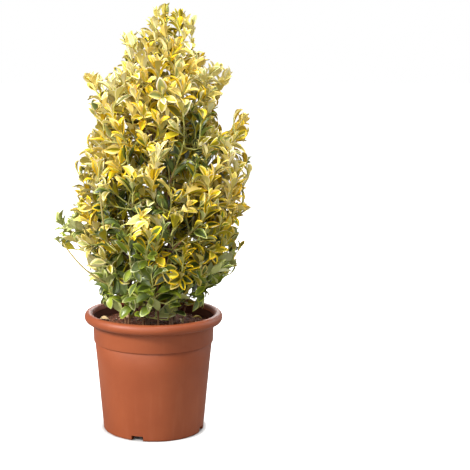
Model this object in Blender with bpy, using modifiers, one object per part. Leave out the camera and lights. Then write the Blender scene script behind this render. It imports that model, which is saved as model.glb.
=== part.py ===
# A variegated spindle shrub in a round plastic pot: five stems rise from the soil, boughs
# leave them on all sides, and each stem or bough ends in a mass of leafy shoots.
# Metres, +Z up. The origin is the centre of the pot's underside, and the front is -Y.

import math
import random

import bmesh
import bpy
from mathutils import Vector
from mathutils.bvhtree import BVHTree

UP = Vector((0, 0, 1))
ASIDE = Vector((0.3, 0.9, 0.1))  # a direction that no limb runs along
GAP = 0.0003  # between neighbouring solids
STRAIGHT = 0.005  # length of the straight stretch on each side of a joint between solids

# Pot
POT_HEIGHT = 0.260
POT_STEPS = 48
WALL = 0.0028
FOOT_RADIUS = 0.1095
FOOT_RING = 0.0125  # width of the ring that the pot stands on
CENTRE_FOOT = 0.034
FOOT_EDGE = 0.002  # bevel at the base's outer edge
FOOT_DRAFT = 0.002  # slope of the hollow's walls under the base
UNDERSIDE_RISE = 0.0125
FLOOR_TOP = 0.0160
LEDGE_HEIGHT = 0.1925
LEDGE_RADIUS = 0.1272
LEDGE_STEP = 0.0022
LEDGE_SLOPE = 0.001
NECK_RADIUS = 0.1312
RIM_RADIUS = 0.150
RIM_HALF_WIDTH = 0.0096
RIM_HALF_HEIGHT = 0.0110
RIM_POINTS = 7
RIM_TURN = 275  # degrees that the roll goes round
NOTCH_COUNT = 4
NOTCH_WIDTH = 0.026
NOTCH_HEIGHT = 0.0110
NOTCH_LENGTH = 2.4  # as a share of the ring's width
NOTCH_TURN = -108.5  # degrees, so that one notch shows left of the front
DRAIN_RADIUS = 0.006
DRAIN_CIRCLE = 0.070
DRAIN_SIDES = 10
MOUTH_RADIUS = RIM_RADIUS - 2 * RIM_HALF_WIDTH

SOIL_TOP = 0.235

# Crown
CROWN = (  # height, how far its axis stands to the right of the pot's, radius to the leaf tips
    (0.262, 0.000, 0.102),
    (0.310, 0.000, 0.134),
    (0.345, 0.012, 0.160),
    (0.400, 0.002, 0.188),
    (0.450, -0.005, 0.200),
    (0.545, 0.018, 0.190),
    (0.640, 0.028, 0.174),
    (0.715, 0.010, 0.152),
    (0.780, 0.008, 0.142),
    (0.830, 0.022, 0.094),
    (0.875, 0.034, 0.064),
    (0.920, 0.032, 0.034),
)
# Name, masses, every how many of them one has a stem of its own (0 for none), height,
# reach and root's reach as shares of the crown's radius, first azimuth in degrees
TIERS = (
    ("skirt", 5, 0, 0.322, 0.60, 0.46, -90),
    ("lower", 6, 0, 0.430, 0.60, 0.32, -60),
    ("middle", 6, 0, 0.556, 0.60, 0.31, -85),
    ("upper", 4, 2, 0.685, 0.58, 0.24, -35),
    ("top", 3, 1, 0.805, 0.46, 0.20, 0),
)
LEADERS = (  # shoots that stand out of the crown: azimuth in degrees, reach, height of the tip
    (1, 0.168, 0.668),
    (-12, 0.172, 0.520),
    (173, 0.184, 0.402),
    (184, 0.120, 0.738),
    (158, 0.060, 0.824),
    (2, 0.128, 0.760),
    (-3, 0.052, 0.872),
    (-25, 0.156, 0.352),
    (82, 0.160, 0.655),
    (118, 0.176, 0.440),
    (262, 0.170, 0.480),
)
LEADER_ROOM = 0.062  # a leader's leaves may stand out of the crown this near to its tip
CROWN_FOOT_ROOM = 0.012  # how far leaves may hang below the lowest of the crown's circles
CROWN_TOP_ROOM = 0.004  # and stand above the highest

# Stems and boughs
STEM_RADIUS = 0.0044
STEM_TIP_RADIUS = 0.0024
STEM_FLARE = 1.45
STEM_FLARE_HEIGHT = 0.024
STEM_CIRCLE = 0.038  # the stems' feet stand on this circle
STEM_CENTRE = Vector((0.006, -0.004, 0))
STEM_BULGE = 0.006
STEM_UPRIGHT = 0.16  # how far above its foot a stem starts to bend
STEM_EASE = 0.07  # how far below a stem's end it starts to lean out
STEM_POINTS = 6
BOUGH_RADIUS = 0.0026
BOUGH_TIP_RADIUS = 0.0019
BOUGH_POINTS = 4
BOUGH_RISES = (0.05, 0.075, 0.1, 0.13)  # how far below its mass's root a bough may leave a stem
BOUGH_ROOM = 0.003  # between a bough and any limb other than its stem
BOUGH_ANGLE = 35  # degrees above square to the stem
BOUGH_CURVE = 0.4  # how far the bends reach into a bough, as a share of its span
LOWEST_BOUGH = 0.258
ROOT_DROP = 0.040  # how far a mass's root lies below its centre
ROOT_LEAN = 7  # a mass's root points outward by this for each metre of its reach, and up by 1

# Shoots and leaves
SHOOTS = {"skirt": 8, "lower": 5, "middle": 5, "upper": 6, "top": 6}
SHOOT_SPACING = 0.034
SHOOT_DEPTH = 0.45  # the innermost shoot tips, as a share of the crown's radius
OPEN_TOP = 0.75  # above this share of the crown's height shoots fill it to the middle
CANDIDATES = 300
CELL_REACH = 0.15  # no mass reaches further than this from its centre along X, Y or Z
SHOOT_CURVE = 0.36  # how far the bends reach into a shoot, as a share of its span
FORK_LEAN = 0.45  # how much a shoot sets off along the twig that it leaves
FORK_TURN = 0.8  # how much a sharp turn counts against a fork
FORK_BEHIND = 0.25  # how much the way back to the root counts against it
AXIS_ROOM = 0.04  # shoots nearer than this to the crown's axis lean out less
CELL_MARGIN = 0.016  # how far a shoot's tip keeps from the next mass
LEAF_CELL_MARGIN = 0.0012
CLIMB_LOW = 0.15  # a shoot's rise for each metre outward at the crown's foot
CLIMB_HIGH = 2.4  # and at its top
TWIG_POINTS = 3
TWIG_RADIUS = 0.0021
TWIG_TIP_RADIUS = 0.0013
LEAF_LENGTH = 0.074
LEAF_WIDTH = 0.044
LEAF_SIZES = (1.0, 0.84, 0.68)  # tried in turn where the space is short
LEAF_STATIONS = ((0.36, 0.40, 0.060), (0.74, 0.50, 0.070))  # along, half width, lift of the edges
LEAF_SINK = 0.0008  # how deep a leaf's root lies in its twig
TIP_DROP = 0.05
PAIR_SPACING = 0.023
PAIRS = 5
BARE_FOOT = 0.012  # length of a shoot's foot without leaves
TURNS = 4  # ways of turning a shoot's leaves about it that are tried
TIP_LEAF = 0.76  # size of a shoot's last pair
TIP_ANGLE = 30  # degrees between a shoot and its last pair
LOW_ANGLE = 72  # and its lowest pair
ANGLE_SPREAD = 7  # degrees that a leaf may stray from its angle
SWING_SPREAD = 10  # and round its shoot
SIZE_SPREAD = 0.10
FACE_UP = 0.35  # how much a leaf's face turns up, against along the shoot
SOIL_ROOM = 0.004  # between leaves and the soil
WALL_ROOM = 0.005  # between leaves and the pot's wall
LIP_ROOM = 0.003  # and above its lip
LIMB_CLEARANCE = 0.0012
SEED = 8


def polar(azimuth, reach, z=0.0):
    turn = math.radians(azimuth)
    return Vector((reach * math.cos(turn), reach * math.sin(turn), z))


def crown_share(z):
    return (z - CROWN[0][0]) / (CROWN[-1][0] - CROWN[0][0])


def crown_at(z):
    """The crown's axis and radius at a height."""
    z = min(CROWN[-1][0], max(CROWN[0][0], z))
    for (low, x, radius), (high, next_x, next_radius) in zip(CROWN, CROWN[1:]):
        if z <= high:
            share = (z - low) / (high - low)
            return x + (next_x - x) * share, radius + (next_radius - radius) * share


def crown_axis(z):
    return Vector((crown_at(z)[0], 0, z))


def crown_radius(z):
    return crown_at(z)[1]


def in_crown(point):
    """Inside the crown, or beside a leader's tip."""
    if CROWN[0][0] - CROWN_FOOT_ROOM < point.z < CROWN[-1][0] + CROWN_TOP_ROOM:
        if off_axis(point).length < crown_radius(point.z):
            return True
    return any((point - polar(*leader)).length < LEADER_ROOM for leader in LEADERS)


def off_axis(point):
    """The level vector from the crown's axis to the point."""
    away = point - crown_axis(point.z)
    return Vector((away.x, away.y, 0))


def mass_list():
    """Each mass's name, tier and centre, and where its own stem starts and which way it points."""
    masses = []
    for tier, count, stem_every, height, reach, root_reach, first in TIERS:
        for i in range(count):
            azimuth = first + i * 360 / count
            radius = crown_radius(height)
            mass = {"name": f"foliage_{tier}_{i + 1}", "tier": tier}
            mass["own_stem"] = stem_every > 0 and i % stem_every == 0
            mass["centre"] = crown_axis(height) + polar(azimuth, reach * radius)
            mass["root"] = crown_axis(height) + polar(azimuth, root_reach * radius, -ROOT_DROP)
            mass["heading"] = (UP + polar(azimuth, reach * radius * ROOT_LEAN)).normalized()
            masses.append(mass)
    return masses


def room_in_cell(point, own, masses):
    """How far inside its own mass's space the point lies. The spaces meet midway between centres."""
    centre = masses[own]["centre"]
    room = 1.0
    for i, other in enumerate(masses):
        if i != own:
            across = other["centre"] - centre
            middle = (other["centre"] + centre) / 2
            room = min(room, (middle - point).dot(across) / across.length)
    return room


def bezier(a, b, c, d, count):
    points = []
    for i in range(count):
        t = i / (count - 1)
        s = 1 - t
        points.append(a * s**3 + b * (3 * s * s * t) + c * (3 * s * t * t) + d * t**3)
    return points


def straight_end(points, heading):
    """A limb whose last stretch lies along heading, so that its cap faces what goes on from it."""
    return points[:-1] + [points[-1] - heading * STRAIGHT, points[-1]]


def square_to(axis, wanted):
    """The unit vector square to axis that lies nearest to wanted."""
    return (wanted - axis * wanted.dot(axis)).normalized()


def direction_at(points, i):
    before, after = points[max(0, i - 1)], points[min(len(points) - 1, i + 1)]
    return (after - before).normalized()


def stem_paths(masses):
    """A stem from the soil to each mass that stands on its own."""
    paths = []
    for mass in [m for m in masses if m["own_stem"]]:
        end, heading = mass["root"], mass["heading"]
        outward = Vector((heading.x, heading.y, 0)).normalized()
        foot = STEM_CENTRE + outward * STEM_CIRCLE
        foot.z = SOIL_TOP + GAP
        lean = foot + outward * STEM_BULGE + UP * STEM_UPRIGHT
        points = straight_end(bezier(foot, lean, end - heading * STEM_EASE, end, STEM_POINTS), heading)
        points.insert(1, foot + UP * STEM_FLARE_HEIGHT)
        paths.append({"points": points, "radii": stem_radii(points), "mass": mass})
    return paths


def stem_radii(points):
    total = points[-1].z - points[0].z
    radii = [
        STEM_RADIUS + (STEM_TIP_RADIUS - STEM_RADIUS) * (p.z - points[0].z) / total
        for p in points
    ]
    radii[0] *= STEM_FLARE
    return radii


def point_at_height(path, z):
    """The stem's centre and direction at a height."""
    points = path["points"]
    for i in range(len(points) - 1):
        if points[i + 1].z >= z:
            break
    share = (z - points[i].z) / (points[i + 1].z - points[i].z)
    return points[i].lerp(points[i + 1], share), (points[i + 1] - points[i]).normalized()


def bough_from(stem, start_height, mass):
    """A limb that leaves the stem at a height and ends at the mass's root."""
    end, heading = mass["root"], mass["heading"]
    centre, along = point_at_height(stem, start_height)
    aside = square_to(along, end - centre)
    angle = math.radians(BOUGH_ANGLE)
    heading_off = aside * math.cos(angle) + along * math.sin(angle)
    surface = stem["surface"].ray_cast(centre, aside)[0]
    start = surface + aside * (GAP + BOUGH_RADIUS * math.sin(angle))
    reach = (end - start).length * BOUGH_CURVE
    points = bezier(start, start + heading_off * reach, end - heading * reach, end, BOUGH_POINTS)
    points = straight_end(points, heading)
    points.insert(1, start + heading_off * STRAIGHT)
    last = len(points) - 1
    radii = [BOUGH_RADIUS + (BOUGH_TIP_RADIUS - BOUGH_RADIUS) * i / last for i in range(last + 1)]
    return {"points": points, "radii": radii, "mass": mass}


def bough_paths(masses, stems):
    """For each other mass, the shortest bough that keeps clear of the limbs there already."""
    boughs = []
    for mass in [m for m in masses if not m["own_stem"]]:
        choices = []
        for stem in stems:
            for rise in BOUGH_RISES:
                bough = bough_from(stem, max(LOWEST_BOUGH, mass["root"].z - rise), mass)
                others = [limb for limb in stems + boughs if limb is not stem]
                bough["room"] = min(
                    distance_to_limb(a.lerp(b, share / 4), limb) - BOUGH_RADIUS
                    for a, b in zip(bough["points"], bough["points"][1:])
                    for share in range(5)
                    for limb in others
                )
                length = sum((b - a).length for a, b in zip(bough["points"], bough["points"][1:]))
                choices.append((bough["room"] < BOUGH_ROOM, length, len(choices), bough))
        boughs.append(min(choices)[3])
    return boughs


def distance_to_limb(point, path):
    """From the point to the limb's surface."""
    nearest = 1.0
    points, radii = path["points"], path["radii"]
    for i in range(len(points) - 1):
        a, b = points[i], points[i + 1]
        share = min(1.0, max(0.0, (point - a).dot(b - a) / (b - a).length_squared))
        radius = radii[i] + (radii[i + 1] - radii[i]) * share
        nearest = min(nearest, (point - a.lerp(b, share)).length - radius)
    return nearest


def shoot_tips(own, masses, draw):
    """Leaders first, then tips spread as evenly as the mass's space allows."""
    mass = masses[own]
    tips = [polar(*leader) for leader in LEADERS]
    tips = [tip for tip in tips if room_in_cell(tip, own, masses) > 0]
    candidates = []
    while len(candidates) < CANDIDATES:
        point = mass["centre"] + Vector([draw.uniform(-CELL_REACH, CELL_REACH) for _ in range(3)])
        beyond = point + tip_heading(point) * (LEAF_LENGTH * TIP_LEAF * 0.9)
        depth = off_axis(point).length / crown_radius(point.z)
        inmost = SHOOT_DEPTH - 2 * max(0, crown_share(point.z) - OPEN_TOP)
        if room_in_cell(point, own, masses) > CELL_MARGIN and depth > inmost and in_crown(beyond):
            candidates.append(point)
    while len(tips) < SHOOTS[mass["tier"]]:
        space, index = max(
            (min((c - other).length for other in tips + [mass["root"]]), -i)
            for i, c in enumerate(candidates)
        )
        if space < SHOOT_SPACING:
            break
        tips.append(candidates[-index])
    return tips


def tip_heading(tip):
    """Shoots lean out at the foot of the crown, and climb towards its top."""
    outward = off_axis(tip)
    climb = CLIMB_LOW + (CLIMB_HIGH - CLIMB_LOW) * min(1.0, max(0.0, crown_share(tip.z)))
    return (outward / max(AXIS_ROOM, outward.length) + UP * climb).normalized()


def grow_shoots(own, masses, guards, draw):
    """The mass's twigs: the first runs from its root, the others fork from those before."""
    mass = masses[own]
    heading = mass["heading"]
    root = mass["root"] + heading * GAP
    tips = shoot_tips(own, masses, draw)
    first = max(tips, key=lambda tip: (tip - root).dot(heading + tip_heading(tip)))
    tips.remove(first)
    tips.sort(key=lambda tip: (tip - root).length)
    shoots = []
    for tip in [first] + tips:
        start, along, behind, parent = best_fork(tip, shoots) if shoots else (root, heading, 0.0, None)
        reach = (tip - start).length * SHOOT_CURVE
        off = (along * FORK_LEAN + (tip - start).normalized()).normalized() if shoots else along
        points = bezier(start, start + off * reach, tip - tip_heading(tip) * reach, tip, TWIG_POINTS)
        if not shoots:
            points.insert(1, start + heading * STRAIGHT)
        else:
            if min(room_in_cell(p, own, masses) for p in points[1:]) < TWIG_RADIUS + LEAF_CELL_MARGIN:
                continue
            if blocked(capsule(points[1:], TWIG_RADIUS), guards + [shoot["tree"] for shoot in shoots]):
                continue
            parent["forks"] += 1
        tree = capsule(points, TWIG_RADIUS)
        shoots.append({"points": points, "behind": behind, "forks": 0, "tree": tree})
    return shoots


def best_fork(tip, shoots):
    """The place on the twigs so far that the way to the tip leaves most directly."""
    best = None
    for shoot in shoots:
        points = shoot["points"]
        for i in range(1, len(points) - 1):
            along = direction_at(points, i)
            way = tip - points[i]
            turn = 1 - along.dot(way.normalized())
            behind = shoot["behind"] + (points[i] - points[0]).length
            cost = way.length * (1 + FORK_TURN * turn) + FORK_BEHIND * behind
            if best is None or cost < best[0]:
                best = (cost, points[i], along, behind, shoot)
    return best[1:]


def along_shoot(points, back):
    """The point this far back from the tip, and the shoot's direction there."""
    for i in range(len(points) - 1, 0, -1):
        a, b = points[i - 1], points[i]
        if back <= (b - a).length:
            return b + (a - b).normalized() * back, (b - a).normalized()
        back -= (b - a).length
    return points[0].copy(), (points[1] - points[0]).normalized()


def fullest_leaves(shoot, twig, own, masses, taken, draw):
    """The leaves of the shoot, turned about it so that as much leaf as possible finds room."""
    choices = []
    spread = draw.uniform(0, 90)
    for i in range(TURNS):
        leaves = leaves_of(shoot, twig, spread + i * 90 / TURNS, own, masses, taken, draw)
        choices.append((sum(leaf["size"] for leaf in leaves), i, leaves))
    return max(choices)[2]


def leaves_of(shoot, twig, turn, own, masses, taken, draw):
    """Pairs of leaves, each turned a right angle to the last, kept inside the mass's space."""
    leaves = []
    length = sum((b - a).length for a, b in zip(shoot["points"], shoot["points"][1:]))
    for pair in range(PAIRS):
        back = LEAF_SINK * 3 + pair * PAIR_SPACING
        if back > length - BARE_FOOT:
            break
        node, axis = along_shoot(shoot["points"], back)
        share = pair / (PAIRS - 1)
        angle = math.radians(TIP_ANGLE + (LOW_ANGLE - TIP_ANGLE) * share)
        size = TIP_LEAF + (1 - TIP_LEAF) * min(1.0, share * 2)
        side = square_to(axis, ASIDE)
        other = axis.cross(side)
        for flip in (0, 180):
            swing = math.radians(turn + 90 * pair + flip + draw.uniform(-1, 1) * SWING_SPREAD)
            outward = side * math.cos(swing) + other * math.sin(swing)
            spread = angle + math.radians(draw.uniform(-1, 1) * ANGLE_SPREAD)
            way = axis * math.cos(spread) + outward * math.sin(spread)
            face = square_to(way, axis + UP * FACE_UP)
            base = twig.ray_cast(node, way)[0] - way * LEAF_SINK
            full = size * (1 + draw.uniform(-1, 1) * SIZE_SPREAD)
            for smaller in LEAF_SIZES:
                corners = leaf_corners(base, way, face, full * smaller)
                tree = tree_of(hull(corners))
                beside = [leaf["tree"] for leaf in leaves]
                if leaf_fits(corners, own, masses) and not blocked(tree, taken + beside):
                    leaves.append({"corners": corners, "tree": tree, "size": full * smaller})
                    break
    return leaves


def leaf_corners(base, way, face, size):
    """Base, tip and four points on the edges, which stand higher than the midrib."""
    length, width = LEAF_LENGTH * size, LEAF_WIDTH * size
    across = way.cross(face)
    corners = [base, base + way * length - face * (length * TIP_DROP)]
    for along, half, lift in LEAF_STATIONS:
        middle = base + way * (length * along) + face * (length * lift)
        corners += [middle + across * (width * half), middle - across * (width * half)]
    return corners


def leaf_fits(corners, own, masses):
    """Inside its mass's space and the crown, above the soil and clear of the pot's wall."""
    for corner in corners[1:]:
        if room_in_cell(corner, own, masses) < LEAF_CELL_MARGIN or not in_crown(corner):
            return False
        for share in (0.25, 0.5, 0.75, 1.0):
            point = corners[0].lerp(corner, share)
            if point.z < SOIL_TOP + SOIL_ROOM:
                return False
            if point.z < POT_HEIGHT + LIP_ROOM and point.xy.length > MOUTH_RADIUS - WALL_ROOM:
                return False
    return True


def hull(points):
    """The convex solid round the points."""
    shape = bmesh.new()
    for point in points:
        shape.verts.new(point)
    bmesh.ops.convex_hull(shape, input=shape.verts)
    bmesh.ops.recalc_face_normals(shape, faces=shape.faces)
    return shape


def capsule(points, radius):
    """A four-sided tube along the points, as a tree for overlap tests."""
    shape = bmesh.new()
    for a, b in zip(points, points[1:]):
        along = (b - a).normalized()
        side = square_to(along, ASIDE) * radius
        other = along.cross(side)
        ends = [end + way for end in (a, b) for way in (side, other, -side, -other)]
        verts = [shape.verts.new(end) for end in ends]
        bmesh.ops.convex_hull(shape, input=verts)
    return tree_of(shape)


def limb_guard(path):
    """The limb with room round it, for overlap tests."""
    return capsule(path["points"], max(path["radii"]) + LIMB_CLEARANCE)


def tree_of(shape):
    tree = BVHTree.FromBMesh(shape)
    shape.free()
    return tree


def tree_of_mesh(mesh):
    shape = bmesh.new()
    shape.from_mesh(mesh)
    return tree_of(shape)


def blocked(tree, others):
    return any(tree.overlap(other) for other in others)


def clear_scene():
    for obj in list(bpy.data.objects):
        bpy.data.objects.remove(obj)


def new_collection(name):
    collection = bpy.data.collections.new(name)
    bpy.context.scene.collection.children.link(collection)
    return collection


def material(name, colour, roughness):
    made = bpy.data.materials.new(name)
    made.use_nodes = True
    shader = made.node_tree.nodes["Principled BSDF"]
    shader.inputs["Base Color"].default_value = (*colour, 1)
    shader.inputs["Roughness"].default_value = roughness
    shader.inputs["Metallic"].default_value = 0.0
    return made


def add_object(name, data, collection, finish=None):
    made = bpy.data.objects.new(name, data)
    collection.objects.link(made)
    if finish:
        data.materials.append(finish)
    return made


def turned(name, profile, steps, collection, finish=None):
    """A profile in the XZ plane turned about Z, from its top centre down its outer side."""
    mesh = bpy.data.meshes.new(name)
    points = [(r, 0, z) for r, z in profile]
    mesh.from_pydata(points, [(i, i + 1) for i in range(len(points) - 1)], [])
    made = add_object(name, mesh, collection, finish)
    screw = made.modifiers.new("Turn", "SCREW")
    screw.steps = screw.render_steps = steps
    screw.use_merge_vertices = True
    screw.merge_threshold = 0.00001
    screw.use_smooth_shade = True
    return made


def rim_profile():
    """The rolled lip, from its inner side over the top and down to the neck."""
    centre = RIM_RADIUS - RIM_HALF_WIDTH
    height = POT_HEIGHT - RIM_HALF_HEIGHT
    profile = []
    for i in range(RIM_POINTS):
        turn = math.radians(180 - i * RIM_TURN / (RIM_POINTS - 1))
        out, up = RIM_HALF_WIDTH * math.cos(turn), RIM_HALF_HEIGHT * math.sin(turn)
        profile.append((centre + out, height + up))
    return profile


def inner_radius(z):
    """The pot's inner wall is straight from the edge of its floor to the lip."""
    share = (z - FLOOR_TOP) / (POT_HEIGHT - RIM_HALF_HEIGHT - FLOOR_TOP)
    floor = FOOT_RADIUS - WALL
    return floor + (MOUTH_RADIUS - floor) * share


def pot_profile():
    ring = FOOT_RADIUS - FOOT_RING
    inside = [(0, FLOOR_TOP), (inner_radius(FLOOR_TOP), FLOOR_TOP)]
    outside = [
        (NECK_RADIUS, POT_HEIGHT - 2 * RIM_HALF_HEIGHT - LEDGE_SLOPE),
        (LEDGE_RADIUS + LEDGE_STEP, LEDGE_HEIGHT + LEDGE_SLOPE),
        (LEDGE_RADIUS, LEDGE_HEIGHT - LEDGE_SLOPE),
        (FOOT_RADIUS, FOOT_EDGE),
        (FOOT_RADIUS - FOOT_EDGE, 0),
        (ring, 0),
        (ring - FOOT_DRAFT, UNDERSIDE_RISE),
        (CENTRE_FOOT + FOOT_DRAFT, UNDERSIDE_RISE),
        (CENTRE_FOOT, 0),
        (0, 0),
    ]
    return inside + rim_profile() + outside


def cut(target, cutter):
    boolean = target.modifiers.new(cutter.name, "BOOLEAN")
    boolean.operation = "DIFFERENCE"
    boolean.object = cutter


def hide(cutter):
    cutter.hide_render = True
    cutter.display_type = "WIRE"


def box(name, size, place, azimuth, collection):
    mesh = bpy.data.meshes.new(name)
    shape = bmesh.new()
    bmesh.ops.create_cube(shape, size=1)
    bmesh.ops.scale(shape, vec=size, verts=shape.verts)
    shape.to_mesh(mesh)
    shape.free()
    made = add_object(name, mesh, collection)
    made.location = place
    made.rotation_euler.z = math.radians(azimuth)
    return made


def drill(name, radius, depth, place, collection):
    mesh = bpy.data.meshes.new(name)
    shape = bmesh.new()
    size = {"radius1": radius, "radius2": radius, "depth": depth}
    bmesh.ops.create_cone(shape, cap_ends=True, segments=DRAIN_SIDES, **size)
    shape.to_mesh(mesh)
    shape.free()
    made = add_object(name, mesh, collection)
    made.location = place
    return made


def make_pot(parts, cutters, finish):
    pot = turned("pot", pot_profile(), POT_STEPS, parts, finish)
    for i in range(NOTCH_COUNT):
        azimuth = NOTCH_TURN + i * 360 / NOTCH_COUNT
        size = Vector((FOOT_RING * NOTCH_LENGTH, NOTCH_WIDTH, NOTCH_HEIGHT * 2))
        notch = box(f"notch_{i + 1}", size, polar(azimuth, FOOT_RADIUS - FOOT_RING / 2), azimuth, cutters)
        place = polar(azimuth + 180 / NOTCH_COUNT, DRAIN_CIRCLE, FLOOR_TOP)
        hole = drill(f"drain_{i + 1}", DRAIN_RADIUS, 2 * FLOOR_TOP - UNDERSIDE_RISE, place, cutters)
        for cutter in (notch, hole):
            hide(cutter)
            cut(pot, cutter)


def make_soil(parts, finish):
    low = FLOOR_TOP + GAP
    profile = [
        (0, SOIL_TOP),
        (inner_radius(SOIL_TOP) - GAP, SOIL_TOP),
        (inner_radius(low) - GAP, low),
        (0, low),
    ]
    turned("soil", profile, POT_STEPS, parts, finish)


def tube(name, points, radii, collection, profile=None):
    """A tapering limb or twig as a curve with filled caps, six-sided where no profile is given."""
    curve = bpy.data.curves.new(name, "CURVE")
    curve.dimensions = "3D"
    curve.use_fill_caps = True
    if profile:
        curve.bevel_mode = "OBJECT"
        curve.bevel_object = profile
    else:
        curve.bevel_depth = 1.0
        curve.bevel_resolution = 1
    spline = curve.splines.new("POLY")
    spline.points.add(len(points) - 1)
    for point, place, radius in zip(spline.points, points, radii):
        point.co = (*place, 1)
        point.radius = radius
    return add_object(name, curve, collection)


def as_mesh(curve_object, collection):
    """The curve as a closed mesh object of the same name."""
    bpy.context.view_layer.update()
    graph = bpy.context.evaluated_depsgraph_get()
    mesh = bpy.data.meshes.new_from_object(curve_object.evaluated_get(graph))
    name, matrix = curve_object.name, curve_object.matrix_world.copy()
    bpy.data.objects.remove(curve_object)
    shape = bmesh.new()
    shape.from_mesh(mesh)
    bmesh.ops.remove_doubles(shape, verts=shape.verts, dist=0.00001)
    bmesh.ops.recalc_face_normals(shape, faces=shape.faces)
    shape.to_mesh(mesh)
    shape.free()
    made = add_object(name, mesh, collection)
    made.matrix_world = matrix
    return made


def make_limb(name, path, parts, finish):
    """One stem or bough. Its surface comes back as a tree for overlap tests."""
    limb = as_mesh(tube(name, path["points"], path["radii"], parts), parts)
    limb.data.materials.append(finish)
    limb.data.shade_smooth()
    return tree_of_mesh(limb.data)


def twig_profile(collection):
    """A three-sided section of unit radius."""
    curve = bpy.data.curves.new("twig_section", "CURVE")
    spline = curve.splines.new("POLY")
    spline.points.add(2)
    for i, point in enumerate(spline.points):
        point.co = (*polar(120 * i, 1.0), 1)
    spline.use_cyclic_u = True
    made = add_object("twig_section", curve, collection)
    hide(made)
    return made


def leaf_object(name, corners, collection):
    mesh = bpy.data.meshes.new(name)
    shape = hull(corners)
    shape.to_mesh(mesh)
    shape.free()
    return add_object(name, mesh, collection)


def shoot_radii(order, count):
    """A taper to the tip, from a thicker foot on a mass's first shoot."""
    foot = TWIG_RADIUS if order == 0 else (TWIG_RADIUS + TWIG_TIP_RADIUS) / 2
    return [foot + (TWIG_TIP_RADIUS - foot) * i / (count - 1) for i in range(count)]


def make_mass(own, masses, guards, parts, section, finish):
    """Twigs and leaves of one mass, joined into one solid by a Boolean union."""
    draw = random.Random(SEED * 100 + own)
    mass = masses[own]
    pieces = new_collection("pieces_" + mass["name"])
    shoots = grow_shoots(own, masses, guards, draw)
    grown = []
    for i, shoot in enumerate(shoots):
        home = parts if i == 0 else pieces
        name = mass["name"] if i == 0 else f"{mass['name']}_twig_{i}"
        radii = shoot_radii(i, len(shoot["points"]))
        twig = as_mesh(tube(name, shoot["points"], radii, home, profile=section), home)
        others = [other["tree"] for other in shoots if other is not shoot]
        taken = guards + others + [leaf["tree"] for leaf in grown]
        leaves = fullest_leaves(shoot, tree_of_mesh(twig.data), own, masses, taken, draw)
        for j, leaf in enumerate(leaves):
            leaf_object(f"{mass['name']}_leaf_{i}_{j}", leaf["corners"], pieces)
        grown += leaves
        if i == 0:
            trunk = twig
        elif not leaves and not shoot["forks"]:
            bpy.data.objects.remove(twig)
    union = trunk.modifiers.new("Join", "BOOLEAN")
    union.operation = "UNION"
    union.operand_type = "COLLECTION"
    union.collection = pieces
    bpy.context.view_layer.update()
    graph = bpy.context.evaluated_depsgraph_get()
    joined = bpy.data.meshes.new_from_object(trunk.evaluated_get(graph))
    trunk.modifiers.clear()
    trunk.data = joined
    joined.materials.clear()
    joined.materials.append(finish)
    for piece in list(pieces.objects):
        bpy.data.objects.remove(piece)
    bpy.data.collections.remove(pieces)
    return len(grown)


def main():
    clear_scene()
    parts = new_collection("potted_spindle")
    cutters = new_collection("cutters")
    plastic = material("terracotta plastic", (0.48, 0.16, 0.075), 0.45)
    earth = material("potting soil", (0.05, 0.028, 0.018), 0.95)
    bark = material("bark", (0.20, 0.12, 0.075), 0.80)
    foliage = material("variegated leaves", (0.46, 0.42, 0.10), 0.45)
    make_pot(parts, cutters, plastic)
    make_soil(parts, earth)
    masses = mass_list()
    stems = stem_paths(masses)
    for i, stem in enumerate(stems):
        stem["surface"] = make_limb(f"stem_{i + 1}", stem, parts, bark)
    boughs = bough_paths(masses, stems)
    for bough in boughs:
        make_limb(bough["mass"]["name"].replace("foliage", "bough"), bough, parts, bark)
    section = twig_profile(cutters)
    limbs = stems + boughs
    guards = [limb_guard(limb) for limb in limbs]
    leaves = sum(make_mass(i, masses, guards, parts, section, foliage) for i in range(len(masses)))
    print(f"{leaves} leaves")


main()
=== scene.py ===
# A potted Japanese spindle with golden leaf edges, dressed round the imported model.
# Twigs and leaves grow on from its five stems and their boughs, inside the outline of one crown.
import math
import random
from itertools import product

import bmesh
import bpy
import numpy as np
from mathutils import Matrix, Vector, noise
from mathutils.bvhtree import BVHTree


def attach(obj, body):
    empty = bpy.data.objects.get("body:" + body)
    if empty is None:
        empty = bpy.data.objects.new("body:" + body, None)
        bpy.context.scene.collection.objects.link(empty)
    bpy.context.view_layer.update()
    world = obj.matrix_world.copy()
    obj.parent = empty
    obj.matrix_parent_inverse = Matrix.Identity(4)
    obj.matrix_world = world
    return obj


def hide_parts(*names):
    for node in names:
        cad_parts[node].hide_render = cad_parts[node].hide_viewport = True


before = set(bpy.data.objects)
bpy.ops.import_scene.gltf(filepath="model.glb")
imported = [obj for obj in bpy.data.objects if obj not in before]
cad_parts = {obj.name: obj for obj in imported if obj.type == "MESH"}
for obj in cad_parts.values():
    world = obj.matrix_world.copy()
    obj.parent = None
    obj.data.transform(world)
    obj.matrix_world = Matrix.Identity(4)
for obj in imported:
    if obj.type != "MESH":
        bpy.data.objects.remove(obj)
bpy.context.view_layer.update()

up = Vector((0, 0, 1))
aside = Vector((0.3, 0.9, 0.1))  # no limb runs along this
view = {  # the camera, and how the crown's outlines are seen from it
    "distance": 2.4, "height": 0.7936, "down": 0.1518, "pixels": 470, "focal": 1126.85, "axisColumn": 153.57}


# Shader maths as plain expressions

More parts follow.
